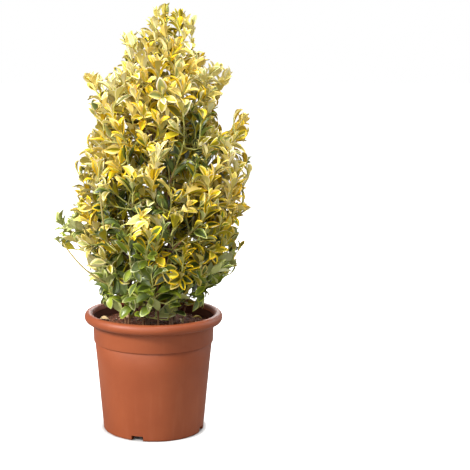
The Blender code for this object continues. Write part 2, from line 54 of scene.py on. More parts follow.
class Wire:  # one output of a node
    def __init__(self, wiring, socket):
        self.wiring = wiring
        self.socket = socket

    def worked(self, operation, first, second):
        kinds = [side.socket.type for side in (first, second) if isinstance(side, Wire)]
        if "RGBA" in kinds:
            settings = {"data_type": "RGBA", "blend_type": operation}
            return self.wiring.node("Mix", settings, {0: 1.0, 6: first, 7: second}, 2)
        kind = "VectorMath" if "VECTOR" in kinds else "Math"
        return self.wiring.node(kind, {"operation": operation}, {0: first, 1: second})

    def __add__(self, other):
        return self.worked("ADD", self, other)

    def __radd__(self, other):
        return self.worked("ADD", other, self)

    def __sub__(self, other):
        return self.worked("SUBTRACT", self, other)

    def __rsub__(self, other):
        return self.worked("SUBTRACT", other, self)

    def __mul__(self, other):
        return self.worked("MULTIPLY", self, other)

    def __rmul__(self, other):
        return self.worked("MULTIPLY", other, self)


class Wiring:  # the nodes of a material or a world
    def __init__(self, owner):
        owner.use_nodes = True
        self.tree = owner.node_tree

    def node(self, kind, settings, values, output=0):
        made = self.tree.nodes.new("ShaderNode" + kind)
        for name, value in settings.items():
            if name == "stops":
                while len(made.color_ramp.elements) < len(value):
                    made.color_ramp.elements.new(1.0)
                for stop, (place, colour) in zip(made.color_ramp.elements, value):
                    stop.position = place
                    stop.color = colour
            else:
                setattr(made, name, value)
        for name, value in values.items():
            self.feed(made.inputs[name], value)
        return Wire(self, made.outputs[output])

    def feed(self, socket, value):
        if isinstance(value, Wire):
            self.tree.links.new(value.socket, socket)
        else:
            socket.default_value = value

    def finishAs(self, shader):
        out = next(node for node in self.tree.nodes if node.type.startswith("OUTPUT"))
        self.feed(out.inputs["Surface"], shader)


class Finish(Wiring):  # one material on its shader
    def __init__(self, name, fixed):
        self.material = bpy.data.materials.new(name)
        super().__init__(self.material)
        self.shader = self.tree.nodes["Principled BSDF"]
        for socket, value in fixed.items():
            self.shader.inputs[socket].default_value = value

    def set(self, name, value):
        self.feed(self.shader.inputs[name], value)

    def place(self, stretch=(1, 1, 1)):
        return self.node("TexCoord", {}, {}, "Object") * Vector(stretch)

    def grain(self, scale, detail, stretch=(1, 1, 1)):
        return self.node("TexNoise", {}, {"Vector": self.place(stretch), "Scale": scale, "Detail": detail})

    def steps(self, value, stops):
        return self.node("ValToRGB", {"stops": [(p, (g, g, g, 1)) for p, g in stops]}, {0: value})

    def colours(self, value, stops):
        return self.node("ValToRGB", {"stops": [(p, (*c, 1)) for p, c in stops]}, {0: value})

    def blended(self, share, first, second):
        return self.node("Mix", {"data_type": "RGBA"}, {0: share, 6: first, 7: second}, 2)

    def relief(self, height, depth, strength=1.0):
        values = {"Height": height, "Distance": depth, "Strength": strength}
        self.set("Normal", self.node("Bump", {}, values))


def rgba(colour):
    return (*colour, 1.0)


def inScene(name, data):
    made = bpy.data.objects.new(name, data)
    bpy.context.scene.collection.objects.link(made)
    return made


def addPiece(name, mesh, replaced=()):
    piece = inScene(name, mesh)
    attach(piece, "root")
    if replaced:
        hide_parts(*replaced)
    return piece


def joined(parts):
    # The points, faces and slots of many small shapes as those of one.
    points, faces, slots = [], [], []
    for shape, corners, kinds in parts:
        start = len(points)
        points += list(shape)
        faces += [tuple(start + corner for corner in face) for face in corners]
        slots += kinds
    return points, faces, slots


def softMesh(name, points, faces, slots, finishes, crease=50):
    mesh = bpy.data.meshes.new(name)
    mesh.from_pydata(points, [], faces)
    for finish in finishes:
        mesh.materials.append(finish)
    mesh.polygons.foreach_set("material_index", np.asarray(slots, dtype=np.int32))
    mesh.shade_smooth()
    mesh.set_sharp_from_angle(angle=math.radians(crease))
    mesh.update()
    return mesh


# The crown, its masses and its limbs, by the rule of the part's source

crown = {
    "outline": (  # height, how far the axis stands to the right of the pot's, radius
        (0.262, 0.0, 0.102), (0.31, 0.0, 0.134), (0.345, 0.012, 0.16),
        (0.4, 0.002, 0.188), (0.45, -0.005, 0.2), (0.545, 0.018, 0.19),
        (0.64, 0.028, 0.174), (0.715, 0.01, 0.152), (0.78, 0.008, 0.142),
        (0.83, 0.022, 0.094), (0.875, 0.034, 0.064), (0.92, 0.032, 0.034)),
    "tiers": (  # name, masses, every how many has its own stem, height, reach, root's reach, azimuth
        ("skirt", 5, 0, 0.322, 0.6, 0.46, -90), ("lower", 6, 0, 0.43, 0.6, 0.32, -60),
        ("middle", 6, 0, 0.556, 0.6, 0.31, -85), ("upper", 4, 2, 0.685, 0.58, 0.24, -35),
        ("top", 3, 1, 0.805, 0.46, 0.2, 0)),
    "leaders": (  # shoots that stand out of the crown: azimuth, reach, height of the tip
        (1, 0.168, 0.668), (-12, 0.172, 0.52), (173, 0.184, 0.402), (184, 0.12, 0.738),
        (158, 0.06, 0.824), (2, 0.128, 0.76), (-3, 0.052, 0.872), (-25, 0.156, 0.352),
        (82, 0.16, 0.655), (118, 0.176, 0.44), (262, 0.17, 0.48)),
    "leaderRoom": 0.062, "footRoom": 0.012, "topRoom": 0.008,
    "climb": ((0.0, 0.2), (0.1, 0.9), (0.25, 2.4), (0.5, 4.2), (1.0, 8.0)),  # rise by crown share
    "left": (  # height and reach to the left that the front view shows
        (0.25, -0.125), (0.3, -0.118), (0.33, -0.148), (0.352, -0.136), (0.383, -0.172), (0.409, -0.216),
        (0.483, -0.214), (0.5, -0.16), (0.53, -0.176), (0.56, -0.158), (0.6, -0.178), (0.625, -0.14),
        (0.65, -0.15), (0.672, -0.118), (0.69, -0.138), (0.784, -0.154), (0.796, -0.07), (0.826, -0.058),
        (0.844, -0.09), (0.862, -0.084), (0.876, -0.054), (0.892, -0.012), (0.93, -0.01)),
    "right": (
        (0.25, 0.108), (0.308, 0.125), (0.34, 0.165), (0.36, 0.19), (0.387, 0.18), (0.413, 0.2),
        (0.457, 0.186), (0.485, 0.212), (0.512, 0.196), (0.59, 0.216), (0.612, 0.2), (0.7, 0.208),
        (0.712, 0.16), (0.79, 0.172), (0.803, 0.112), (0.826, 0.11), (0.84, 0.088), (0.895, 0.092),
        (0.912, 0.066), (0.93, 0.066)),
    "clearings": (  # sky that the front view shows through the crown: right, up, half width, half height
        (0.155, 0.69, 0.018, 0.036), (0.13, 0.588, 0.008, 0.011), (-0.105, 0.774, 0.009, 0.011),
        (-0.176, 0.4, 0.012, 0.014), (-0.156, 0.38, 0.014, 0.009)),
    "hollows": (  # shaded places in the front half, without leaves
        (-0.067, 0.495, 0.032, 0.036), (-0.037, 0.587, 0.024, 0.018), (0.047, 0.555, 0.019, 0.03),
        (0.077, 0.638, 0.017, 0.046), (0.038, 0.404, 0.019, 0.017), (0.076, 0.445, 0.013, 0.021),
        (0.02, 0.489, 0.019, 0.015), (-0.071, 0.374, 0.017, 0.019), (0.048, 0.44, 0.014, 0.014),
        (-0.078, 0.326, 0.013, 0.014), (-0.052, 0.466, 0.016, 0.02)),
    "hollowDepth": -0.055, "axisRoom": 0.04, "rootDrop": 0.04, "rootLean": 7, "seed": 8,
}
soil = {
    "top": 0.235, "relief": 0.0028, "edgeDrop": 0.0035, "edgeStart": 0.72, "rings": 46, "turns": 120,
    "rootDepth": 0.006, "gap": 0.0004,
    "damp": ((0.32, (0.026, 0.009, 0.005)), (0.55, (0.12, 0.038, 0.018)), (0.78, (0.32, 0.12, 0.06))),
    "dry": ((0.35, (0.07, 0.024, 0.012)), (0.6, (0.27, 0.095, 0.048))),
}
stem = {
    "radius": 0.0044, "tipRadius": 0.0024, "flare": 1.45, "flareHeight": 0.024,
    "circle": 0.038, "centre": Vector((0.006, -0.004, 0)), "bulge": 0.006,
    "upright": 0.16, "ease": 0.07, "sides": 16, "ring": 0.0028, "bark": 0.1,
    "young": ((0.3, (0.12, 0.062, 0.036)), (0.52, (0.26, 0.15, 0.095)), (0.72, (0.42, 0.29, 0.2))),
    "old": ((0.3, (0.05, 0.028, 0.018)), (0.55, (0.15, 0.085, 0.055)), (0.75, (0.28, 0.2, 0.14))),
}
bough = {
    "radius": 0.0026, "tipRadius": 0.0019, "rises": (0.05, 0.075, 0.1, 0.13), "room": 0.003,
    "angle": 35, "curve": 0.4, "lowest": 0.258, "sides": 12, "sunk": 0.4, "collar": 0.5, "collarRings": 4,
    "bark": 0.09,
}


def polar(azimuth, reach, height=0.0):
    turn = math.radians(azimuth)
    return Vector((reach * math.cos(turn), reach * math.sin(turn), height))


def crownAt(z):
    outline = crown["outline"]
    z = min(max(z, outline[0][0]), outline[-1][0])
    for (low, x, radius), (high, nextX, nextRadius) in zip(outline, outline[1:]):
        if z <= high:
            share = (z - low) / (high - low)
            return x + (nextX - x) * share, radius + (nextRadius - radius) * share


def crownShare(z):
    low, high = crown["outline"][0][0], crown["outline"][-1][0]
    return (z - low) / (high - low)


def crownAxis(z):
    return Vector((crownAt(z)[0], 0, z))


def offAxis(point):
    away = point - crownAxis(point.z)
    return Vector((away.x, away.y, 0))


def depthIn(point):
    return crownAt(point.z)[1] - offAxis(point).length


def seenAt(point):
    nearness = view["distance"] / (view["distance"] + point.y)
    return point.x * nearness, view["height"] + (point.z - view["height"]) * nearness


def within(x, z, ovals):
    return any(((x - right) / wide)**2 + ((z - height) / tall)**2 < 1 for right, height, wide, tall in ovals)


def overHollow(point):
    return within(*seenAt(point), crown["hollows"])


def inView(point):
    x, z = seenAt(point)
    if within(x, z, crown["clearings"]):
        return False
    return np.interp(z, *zip(*crown["left"])) < x < np.interp(z, *zip(*crown["right"]))


def inCrown(point, spare=0.0):
    if not inView(point):
        return False
    outline = crown["outline"]
    if outline[0][0] - crown["footRoom"] < point.z < outline[-1][0] + crown["topRoom"]:
        if offAxis(point).length < crownAt(point.z)[1] + spare:
            return True
    if any((point - tip).length < crown["leaderRoom"] for tip in leaderTips):
        return True
    return any((point - tip).length < twig["sprigRoom"] for tip in sprigTips)


def allMasses():
    masses = []
    for tier, count, stemEvery, height, reach, rootReach, first in crown["tiers"]:
        for i in range(count):
            azimuth = first + i * 360 / count
            radius = crownAt(height)[1]
            masses.append({
                "tier": tier, "node": f"foliage_{tier}_{i + 1}",
                "ownStem": stemEvery > 0 and i % stemEvery == 0,
                "centre": crownAxis(height) + polar(azimuth, reach * radius),
                "root": crownAxis(height) + polar(azimuth, rootReach * radius, -crown["rootDrop"]),
                "heading": (up + polar(azimuth, reach * radius * crown["rootLean"])).normalized()})
    return masses


def roomInCell(point, own):
    centre = masses[own]["centre"]
    room = 1.0
    for i, other in enumerate(masses):
        if i != own:
            across = other["centre"] - centre
            middle = (other["centre"] + centre) / 2
            room = min(room, (middle - point).dot(across) / across.length)
    return room


def bezier(a, b, c, d, count):
    points = []
    for i in range(count):
        t = i / (count - 1)
        s = 1 - t
        points.append(a * s**3 + b * (3 * s * s * t) + c * (3 * s * t * t) + d * t**3)
    return points


def squareTo(axis, wanted):
    return (wanted - axis * wanted.dot(axis)).normalized()


def pathLength(points):
    return sum((b - a).length for a, b in zip(points, points[1:]))


def tapered(first, last, count):
    return [first + (last - first) * i / (count - 1) for i in range(count)]


def stemPaths():
    paths = []
    for mass in [mass for mass in masses if mass["ownStem"]]:
        end, heading = mass["root"], mass["heading"]
        outward = Vector((heading.x, heading.y, 0)).normalized()
        foot = stem["centre"] + outward * stem["circle"]
        foot.z = soil["top"] - soil["rootDepth"]
        lean = foot + outward * stem["bulge"] + up * stem["upright"]
        count = int(pathLength([foot, end]) / stem["ring"])
        points = bezier(foot, lean, end - heading * stem["ease"], end, count)
        radii = tapered(stem["radius"], stem["tipRadius"], count)
        for i, point in enumerate(points):
            flare = max(0.0, 1 - (point.z - foot.z) / stem["flareHeight"])
            radii[i] *= 1 + (stem["flare"] - 1) * flare**1.5
        paths.append({"points": points, "radii": radii})
    return paths


def boughFrom(path, startHeight, mass):
    end, heading = mass["root"], mass["heading"]
    points = path["points"]
    i = next(i for i, point in enumerate(points) if point.z >= startHeight)
    along = (points[i + 1] - points[i - 1]).normalized()
    side = squareTo(along, end - points[i])
    angle = math.radians(bough["angle"])
    off = side * math.cos(angle) + along * math.sin(angle)
    start = points[i] + side * (path["radii"][i] * bough["sunk"])
    reach = (end - start).length * bough["curve"]
    count = max(10, int(pathLength([start, end]) / stem["ring"]))
    line = bezier(start, start + off * reach, end - heading * reach, end, count)
    radii = tapered(bough["radius"], bough["tipRadius"], count)
    rings = bough["collarRings"]
    for j in range(rings):  # a collar where the bough leaves its stem
        radii[j] *= 1 + bough["collar"] * (rings - j) / rings
    return {"points": line, "radii": radii}


def roomBeside(path, others):
    nearest = 1.0
    for limb in others:
        places = np.array(limb["points"])
        for point in path["points"][2::4]:
            nearest = min(nearest, np.linalg.norm(places - np.array(point), axis=1).min())
    return nearest - bough["radius"] - stem["radius"]


def boughPaths():
    boughs = []
    for mass in [mass for mass in masses if not mass["ownStem"]]:
        choices = []
        for path in stems:
            for rise in bough["rises"]:
                found = boughFrom(path, max(bough["lowest"], mass["root"].z - rise), mass)
                others = [limb for limb in stems + boughs if limb is not path]
                crowded = roomBeside(found, others) < bough["room"]
                choices.append((crowded, pathLength(found["points"]), len(choices), found))
        boughs.append(min(choices)[3])
    return boughs


leaderTips = [polar(*leader) for leader in crown["leaders"]]
masses = allMasses()
stems = stemPaths()
boughs = boughPaths()
print("limbs planned:", len(stems), "stems and", len(boughs), "boughs")


# Twigs, which fork on from the limbs

twig = {
    "perMass": {"skirt": 30, "lower": 36, "middle": 37, "upper": 42, "top": 34},
    "spacing": 0.0205, "depth": {"skirt": 0.22}, "usualDepth": 0.25, "openTop": 0.75,
    "candidates": 600, "cellReach": 0.15, "cellMargin": 0.004, "leafReach": 0.03,
    "curve": 0.36, "longestCurve": 0.03, "straighter": 0.3, "rootBack": 0.004, "forkLean": 0.45,
    "forkTurn": 0.8, "forkAim": 1.0, "forkBehind": 0.25, "openCost": 0.1, "openShares": (0.3, 0.5, 0.7),
    "radius": 0.002, "sideRadius": 0.0016, "tipRadius": 0.001, "sides": 7, "points": 11,
    "leaderStretch": 0.014, "budLength": 0.006, "sideRoom": 0.014,
    "sprigs": (  # the highest leaf tips of shoots that stand out of the outline, right and up
        (-0.003, 0.913), (0.03, 0.921), (0.06, 0.917), (0.085, 0.898), (-0.016, 0.874), (-0.041, 0.865),
        (-0.08, 0.853), (0.085, 0.858), (-0.142, 0.787), (-0.12, 0.784), (-0.067, 0.788), (0.102, 0.824),
        (0.161, 0.793), (0.15, 0.77), (0.166, 0.747), (0.175, 0.703), (0.198, 0.701), (0.205, 0.673),
        (0.205, 0.61), (0.212, 0.588), (0.211, 0.53), (-0.146, 0.652), (-0.172, 0.599), (-0.175, 0.53),
        (-0.209, 0.485), (-0.214, 0.438), (-0.165, 0.385), (0.17, 0.362), (-0.058, 0.872), (-0.092, 0.846),
        (-0.07, 0.838), (0.014, 0.904), (0.046, 0.908), (0.074, 0.904), (0.198, 0.425), (0.192, 0.398),
        (0.186, 0.37), (0.172, 0.34), (-0.136, 0.344)),
    "sprigReach": 0.03, "sprigRoom": 0.034, "sprigDrop": 0.05,
    "suckers": (  # thin stems out of the soil: where they leave it, then where they end in the crown
        ((-0.06, -0.01), (-0.105, -0.03, 0.345)), ((-0.054, -0.018), (-0.03, -0.05, 0.355)),
        ((-0.022, -0.034), (-0.05, -0.062, 0.34)), ((0.01, -0.05), (0.008, -0.082, 0.36)),
        ((0.064, 0.012), (0.11, 0.02, 0.365)), ((-0.018, 0.062), (-0.04, 0.1, 0.37))),
    "droopers": (  # ends of short twigs at the foot, whose leaves hang
        (-0.086, -0.058, 0.302), (-0.044, -0.076, 0.306), (-0.006, -0.088, 0.3), (0.05, -0.076, 0.304),
        (0.094, -0.05, 0.302), (-0.104, -0.02, 0.296), (0.104, 0.028, 0.298), (0.07, 0.076, 0.298),
        (0.01, 0.092, 0.298), (-0.052, 0.08, 0.298), (-0.096, 0.034, 0.298)),
    "droopLeafy": 0.02, "droopRise": 0.03, "droopBelow": 0.012, "droopFace": 0.4,
    "canes": (  # bare stretches of young stem that the front view shows: points along each
        ((-0.085, -0.05, 0.322), (-0.128, -0.066, 0.346), (-0.155, -0.06, 0.366), (-0.19, -0.04, 0.412)),
        ((-0.08, -0.07, 0.4), (-0.1, -0.125, 0.43), (-0.102, -0.142, 0.47), (-0.108, -0.14, 0.53)),
        ((0.02, -0.03, 0.48), (0.03, -0.06, 0.53), (0.046, -0.075, 0.57), (0.044, -0.08, 0.62))),
    "suckerRadius": 0.0021, "suckerPoints": 16, "suckerEase": (0.45, 0.8), "bark": 0.05,
    "bud": ((0.25, 1.25), (0.6, 1.0), (1.0, 0.15)),  # how far out, how wide
    "colours": {  # how far from the tip each reaches, and its colour
        "green": (0.045, (0.46, 0.46, 0.13)), "olive": (0.095, (0.36, 0.29, 0.1)),
        "brown": (1.0, (0.22, 0.115, 0.055))},
}


def tipHeading(tip):
    outward = offAxis(tip)
    climb = np.interp(crownShare(tip.z), *zip(*crown["climb"]))
    return (outward / max(crown["axisRoom"], outward.length) + up * float(climb)).normalized()


sprigTips = [Vector((x, 0, z)) for x, z in twig["sprigs"]]
sprigTips = [tip - tipHeading(tip) * twig["sprigReach"] for tip in sprigTips]


def shootTips(own, draw):
    # Where the shoots of one mass end: spread as evenly as its space allows.
    mass = masses[own]
    tips = [tip + tipHeading(tip) * twig["leaderStretch"] for tip in leaderTips]
    tips = [tip for tip in tips if roomInCell(tip, own) > 0]
    tips += [tip for tip in sprigTips if roomInCell(tip - up * twig["sprigDrop"], own) > 0]
    candidates = []
    inmost = twig["depth"].get(mass["tier"], twig["usualDepth"])
    while len(candidates) < twig["candidates"]:
        reach = twig["cellReach"]
        point = mass["centre"] + Vector([draw.uniform(-reach, reach) for _ in range(3)])
        depth = offAxis(point).length / crownAt(point.z)[1]
        if depth < inmost - 2 * max(0.0, crownShare(point.z) - twig["openTop"]):
            continue
        if not inCrown(point + tipHeading(point) * twig["leafReach"]):
            continue
        if not inCrown(point + offAxis(point).normalized() * twig["sideRoom"]):
            continue
        if roomInCell(point, own) > twig["cellMargin"]:
            candidates.append(point)
    places = np.array(candidates)
    taken = np.array([list(tip) for tip in tips] + [list(mass["root"])])
    space = np.linalg.norm(places[:, None] - taken[None], axis=2).min(axis=1)
    while len(tips) < twig["perMass"][mass["tier"]]:
        best = int(space.argmax())
        if space[best] < twig["spacing"]:
            break
        tips.append(candidates[best])
        space = np.minimum(space, np.linalg.norm(places - places[best], axis=1))
    return tips


def bestFork(tip, shoots):
    # The cheapest place for a tip to fork off: near, little turned, and not across open sky.
    best = None
    for shoot in shoots:
        points = shoot["points"]
        for i in range(2, len(points) - 1):
            along = (points[i + 1] - points[i - 1]).normalized()
            way = tip - points[i]
            turn = 1 - along.dot(way.normalized())
            behind = shoot["behind"] + (points[i] - points[0]).length
            aim = 1 - way.normalized().dot(tipHeading(tip))
            cost = way.length * (1 + twig["forkTurn"] * turn + twig["forkAim"] * aim)
            cost += twig["forkBehind"] * behind
            between = [points[i].lerp(tip, share) for share in twig["openShares"]]
            cost += sum(twig["openCost"] for spot in between if not inView(spot))
            if best is None or cost < best[0]:
                best = (cost, points[i], along, behind, shoot, i)
    shoot, i = best[4:]
    shoot["forked"] = max(shoot["forked"], i)
    return best[1:4]


def growShoots(own, draw):
    mass = masses[own]
    tips = shootTips(own, draw)
    root, heading = mass["root"] - mass["heading"] * twig["rootBack"], mass["heading"]
    first = max(tips, key=lambda tip: (tip - root).dot(heading + tipHeading(tip)))
    tips.remove(first)
    tips.sort(key=lambda tip: (tip - root).length)
    shoots = []
    for tip in [first] + tips:
        start, along, behind = bestFork(tip, shoots) if shoots else (root, heading, 0.0)
        reach = min(twig["longestCurve"], (tip - start).length * twig["curve"])
        off = (along * twig["forkLean"] + (tip - start).normalized()).normalized() if shoots else along
        end = tip - tipHeading(tip) * reach
        points = bezier(start, start + off * reach, end, tip, twig["points"])
        if not all(inView(point) for point in points[3:-1]):
            reach *= twig["straighter"]
            points = bezier(start, start + off * reach, tip - tipHeading(tip) * reach, tip, twig["points"])
        foot = twig["sideRadius"] if shoots else twig["radius"]
        radii = tapered(foot, twig["tipRadius"], len(points))
        shoots.append({"points": points, "radii": radii, "behind": behind, "mass": mass, "forked": 0})
    return shoots


def droopShoot(tip):
    # From the nearest twig above it, out and down, with leaves that face outward.
    joints = [(shoot, i) for shoot in shoots if shoot["mass"]["tier"] == "skirt"
              for i in range(2, len(shoot["points"]) - 1)
              if shoot["points"][i].z > tip.z + twig["droopBelow"]]
    shoot, i = min(joints, key=lambda joint: (joint[0]["points"][joint[1]] - tip).length)
    start = shoot["points"][i]
    rise = up * twig["droopRise"]
    points = bezier(start, (start + tip) / 2 + rise * 0.6, tip + rise, tip, twig["points"])
    radii = tapered(twig["sideRadius"], twig["tipRadius"], len(points))
    shoot["forked"] = max(shoot["forked"], i)
    return {"points": points, "radii": radii, "behind": 0, "mass": shoot["mass"], "forked": 0,
            "facing": offAxis(tip).normalized() + up * twig["droopFace"], "leafy": twig["droopLeafy"],
            "spray": "misty"}


shoots = []
for own in range(len(masses)):
    shoots += growShoots(own, random.Random(crown["seed"] * 100 + own))
shoots += [droopShoot(Vector(tip)) for tip in twig["droopers"]]
print("twigs:", len(shoots))


# Pot

pot = {
    "height": 0.26, "mouth": 0.1308, "rimRadius": 0.15, "rimHalfWidth": 0.0096,
    "rimHalfHeight": 0.011, "rimTurn": 275, "rimSteps": 22, "neck": 0.1312, "ledgeHeight": 0.1952,
    "ledgeRadius": 0.1272, "ledgeStep": 0.0029, "footRadius": 0.1095, "footRing": 0.0125,
    "centreFoot": 0.034, "underside": 0.0125, "floor": 0.016, "wall": 0.0028, "turns": 192,
    "notches": 4, "notchWidth": 0.026, "notchHeight": 0.011, "notchTurn": -108.5, "notchRound": 0.0018,
    "drainRadius": 0.006, "drainCircle": 0.07, "drainDepth": 0.0195,
    "innerRings": (0.12, 0.225), "outerRings": (0.15, 0.1, 0.05, 0.02, 0.0125, 0.009, 0.0045, 0.002),
    "colour": (0.284, 0.064, 0.0175), "deep": (0.235, 0.048, 0.0115), "pale": (0.35, 0.1, 0.04),
    # the inner wall's dark colour below the top is painted shade inside the pot
    "stained": (0.09, 0.026, 0.014), "paintedShadeFromTop": 0.014,
}


def plainFinish(name, colour, roughness, scale):
    finish = Finish(name, {"Base Color": rgba(colour), "Specular IOR Level": 0.25})
    finish.set("Roughness", roughness + 0.12 * finish.grain(scale, 2))
    finish.relief(finish.grain(scale, 4), 0.0005)
    return finish.material


def turnedMesh(name, profile, turns):
    # A profile turned round the pot's axis, from the middle of its top to the middle of its foot.
    points, rings = [], []
    for radius, z in profile:
        if radius == 0:
            rings.append([len(points)] * turns)
            points.append((0, 0, z))
        else:
            rings.append(list(range(len(points), len(points) + turns)))
            points += [tuple(polar(360 * i / turns, radius, z)) for i in range(turns)]
    faces = []
    for upper, lower in zip(rings, rings[1:]):
        for i in range(turns):
            j = (i + 1) % turns
            corners = [upper[i], lower[i], lower[j], upper[j]]
            faces.append(tuple(dict.fromkeys(corners)))
    mesh = bpy.data.meshes.new(name)
    mesh.from_pydata(points, [], faces)
    mesh.update()
    return mesh


def potInner(z):
    share = (z - pot["floor"]) / (pot["height"] - pot["rimHalfHeight"] - pot["floor"])
    foot = pot["footRadius"] - pot["wall"]
    return foot + (pot["mouth"] - foot) * share


def potProfile():
    rimCentre = pot["rimRadius"] - pot["rimHalfWidth"]
    rimHeight = pot["height"] - pot["rimHalfHeight"]
    rim = []
    for i in range(pot["rimSteps"]):
        turn = math.radians(180 - i * pot["rimTurn"] / (pot["rimSteps"] - 1))
        rim.append((rimCentre + pot["rimHalfWidth"] * math.cos(turn),
                    rimHeight + pot["rimHalfHeight"] * math.sin(turn)))
    inside = [(0, pot["floor"])] + [(potInner(z), z) for z in (pot["floor"], *pot["innerRings"])]
    neckHeight = pot["height"] - 2 * pot["rimHalfHeight"] - 0.001
    ledge, step = pot["ledgeRadius"], pot["ledgeStep"]
    low, high = pot["ledgeHeight"] - 0.001, pot["ledgeHeight"] + 0.001
    foot, inner = pot["footRadius"], pot["footRadius"] - pot["footRing"]
    outside = [(pot["neck"] + 0.0004, neckHeight), (pot["neck"], neckHeight - 0.003)]
    outside += [(ledge + step + 0.0001, high + 0.003), (ledge + step - 0.0003, high + 0.0003),
                (ledge - 0.0012, high - 0.0002), (ledge - 0.0013, low - 0.0004), (ledge, low - 0.0028)]
    outside += [(foot + (ledge - foot) * z / low, z) for z in pot["outerRings"]]
    outside += [(foot - 0.0008, 0.0005), (foot - 0.002, 0), (inner, 0), (inner - 0.002, pot["underside"]),
                (pot["centreFoot"] + 0.002, pot["underside"]), (pot["centreFoot"], 0), (0, 0)]
    return inside + rim + outside


def cutFrom(piece, shape, place, azimuth):
    mesh = bpy.data.meshes.new("cutter")
    shape.to_mesh(mesh)
    shape.free()
    cutter = inScene("cutter", mesh)
    cutter.location = place
    cutter.rotation_euler.z = math.radians(azimuth)
    boolean = piece.modifiers.new("cut", "BOOLEAN")
    boolean.operation = "DIFFERENCE"
    boolean.object = cutter
    return cutter


def makePot():
    mesh = turnedMesh("potWall", potProfile(), pot["turns"])
    piece = addPiece("potWall", mesh, ["pot"])
    cutters = []
    for i in range(pot["notches"]):
        azimuth = pot["notchTurn"] + i * 360 / pot["notches"]
        notch = bmesh.new()
        bmesh.ops.create_cube(notch, size=1)
        size = (pot["footRing"] * 2.4, pot["notchWidth"], pot["notchHeight"] * 2)
        bmesh.ops.scale(notch, vec=size, verts=notch.verts)
        long = [edge for edge in notch.edges if abs(edge.verts[0].co.x - edge.verts[1].co.x) > 0.01]
        bmesh.ops.bevel(notch, geom=long, offset=pot["notchRound"], segments=3, profile=0.5, affect="EDGES")
        place = polar(azimuth, pot["footRadius"] - pot["footRing"] / 2)
        cutters.append(cutFrom(piece, notch, place, azimuth))
        hole, radius = bmesh.new(), pot["drainRadius"]
        bmesh.ops.create_cone(hole, cap_ends=True, segments=28, radius1=radius, radius2=radius,
                              depth=pot["drainDepth"])
        place = polar(azimuth + 180 / pot["notches"], pot["drainCircle"], pot["floor"])
        cutters.append(cutFrom(piece, hole, place, 0))
    bpy.context.view_layer.update()
    graph = bpy.context.evaluated_depsgraph_get()
    piece.data = bpy.data.meshes.new_from_object(piece.evaluated_get(graph))
    piece.modifiers.clear()
    for cutter in cutters:
        bpy.data.objects.remove(cutter)
    piece.data.materials.clear()
    piece.data.materials.append(potFinish())
    # The inner wall below the top takes a dark, rough second finish: painted shade inside the pot.
    piece.data.materials.append(plainFinish("innerPaintedShadeWall", pot["stained"], 0.8, 90))
    for face in piece.data.polygons:
        reach, z = face.center.xy.length, face.center.z
        if pot["floor"] - 0.001 < z < pot["height"] - pot["paintedShadeFromTop"] and reach < pot["mouth"]:
            face.material_index = int(reach < potInner(z) + 0.0006)
    piece.data.shade_smooth()
    piece.data.set_sharp_from_angle(angle=math.radians(38))


def potFinish():
    finish = Finish("terracottaPlastic", {"Specular IOR Level": 0.45})
    clouds = finish.grain(9, 4)
    flecks = finish.grain(420, 2)
    streaks = finish.grain(60, 3, (1, 1, 0.06))
    cloudy = finish.steps(clouds, ((0.32, 0), (0.68, 1)))
    body = finish.blended(cloudy, rgba(pot["deep"]), rgba(pot["colour"]))
    scuffed = finish.steps(streaks, ((0.56, 0), (0.78, 0.35))) * finish.steps(clouds, ((0.35, 0.2), (0.6, 1)))
    body = finish.blended(scuffed, body, rgba(pot["pale"]))
    finish.set("Base Color", body)
    finish.set("Roughness", 0.42 + 0.1 * flecks + 0.1 * streaks)
    finish.relief(flecks + 0.5 * streaks, 0.00025, 0.6)
    return finish.material


# Leaves in opposite pairs, each pair a right angle round from the last

leaf = {
    "length": 0.042, "width": 0.019, "thick": 0.0006, "stalk": 0.0009,
    "rows": (0.0, 0.09, 0.18, 0.32, 0.48, 0.64, 0.79, 0.91),
    "leafyLength": 0.17, "bareFoot": 0.01, "drop": 0.12, "hanging": 0.14, "lowest": 0.292,
    "spacings": (0.0045, 0.0072, 0.0098, 0.0118, 0.0132, 0.014), "spacingSpread": (0.85, 1.2),
    "sizes": (0.52, 0.76, 0.92, 1.0, 1.04, 1.04), "angles": (12, 20, 28, 35, 42, 48),
    "faceUp": 0.35, "sizeSpread": 0.2, "angleSpread": 9, "swingSpread": 12,
    "tries": (1.0, 0.88, 0.76), "grid": 0.045, "massesPerPiece": 3, "seed": 31,
    # how far one blade differs from the next
    "widest": (0.92, 1.32), "blunt": (0.72, 1.12), "halfWidth": 0.52, "widths": (0.84, 1.2),
    "teeth": 0.045, "recurve": (0.4, 1.3), "fold": (16, 46), "roll": 0.25, "wave": 0.12, "twist": 0.25,
    # up to these shares of the crown's height leaves are wider and flatter, and some of them larger
    "lowShare": 0.3, "lowBlunt": 0.08, "lowWidth": 0.05, "lowFold": 0.3, "lowAngle": 0.35, "lowSize": 0.08,
    "footShare": 0.14, "footSize": 0.46, "footSizes": (0.2, 1.4),
    # how many keep their spray's colours, and how many turn dark: painted shade deep inside, late on a shoot
    # and over the hollows
    "ownKind": 0.85, "inner": 0.066, "innerDark": 0.78, "innerLess": 0.8, "latePaintedShade": 0.4, "hollowGreenShade": 0.6,
    "patchFront": 0.03, "patchShare": 0.8,
    # the room a leaf keeps to the soil, the rim and its neighbours
    "soilRoom": 0.005, "rimRoom": 0.006, "aboveRim": 0.004, "near": 0.04, "spare": 0.003,
}
inRow = 10  # points in a row: seven on top from edge to edge, then three beneath
gridCells = {}


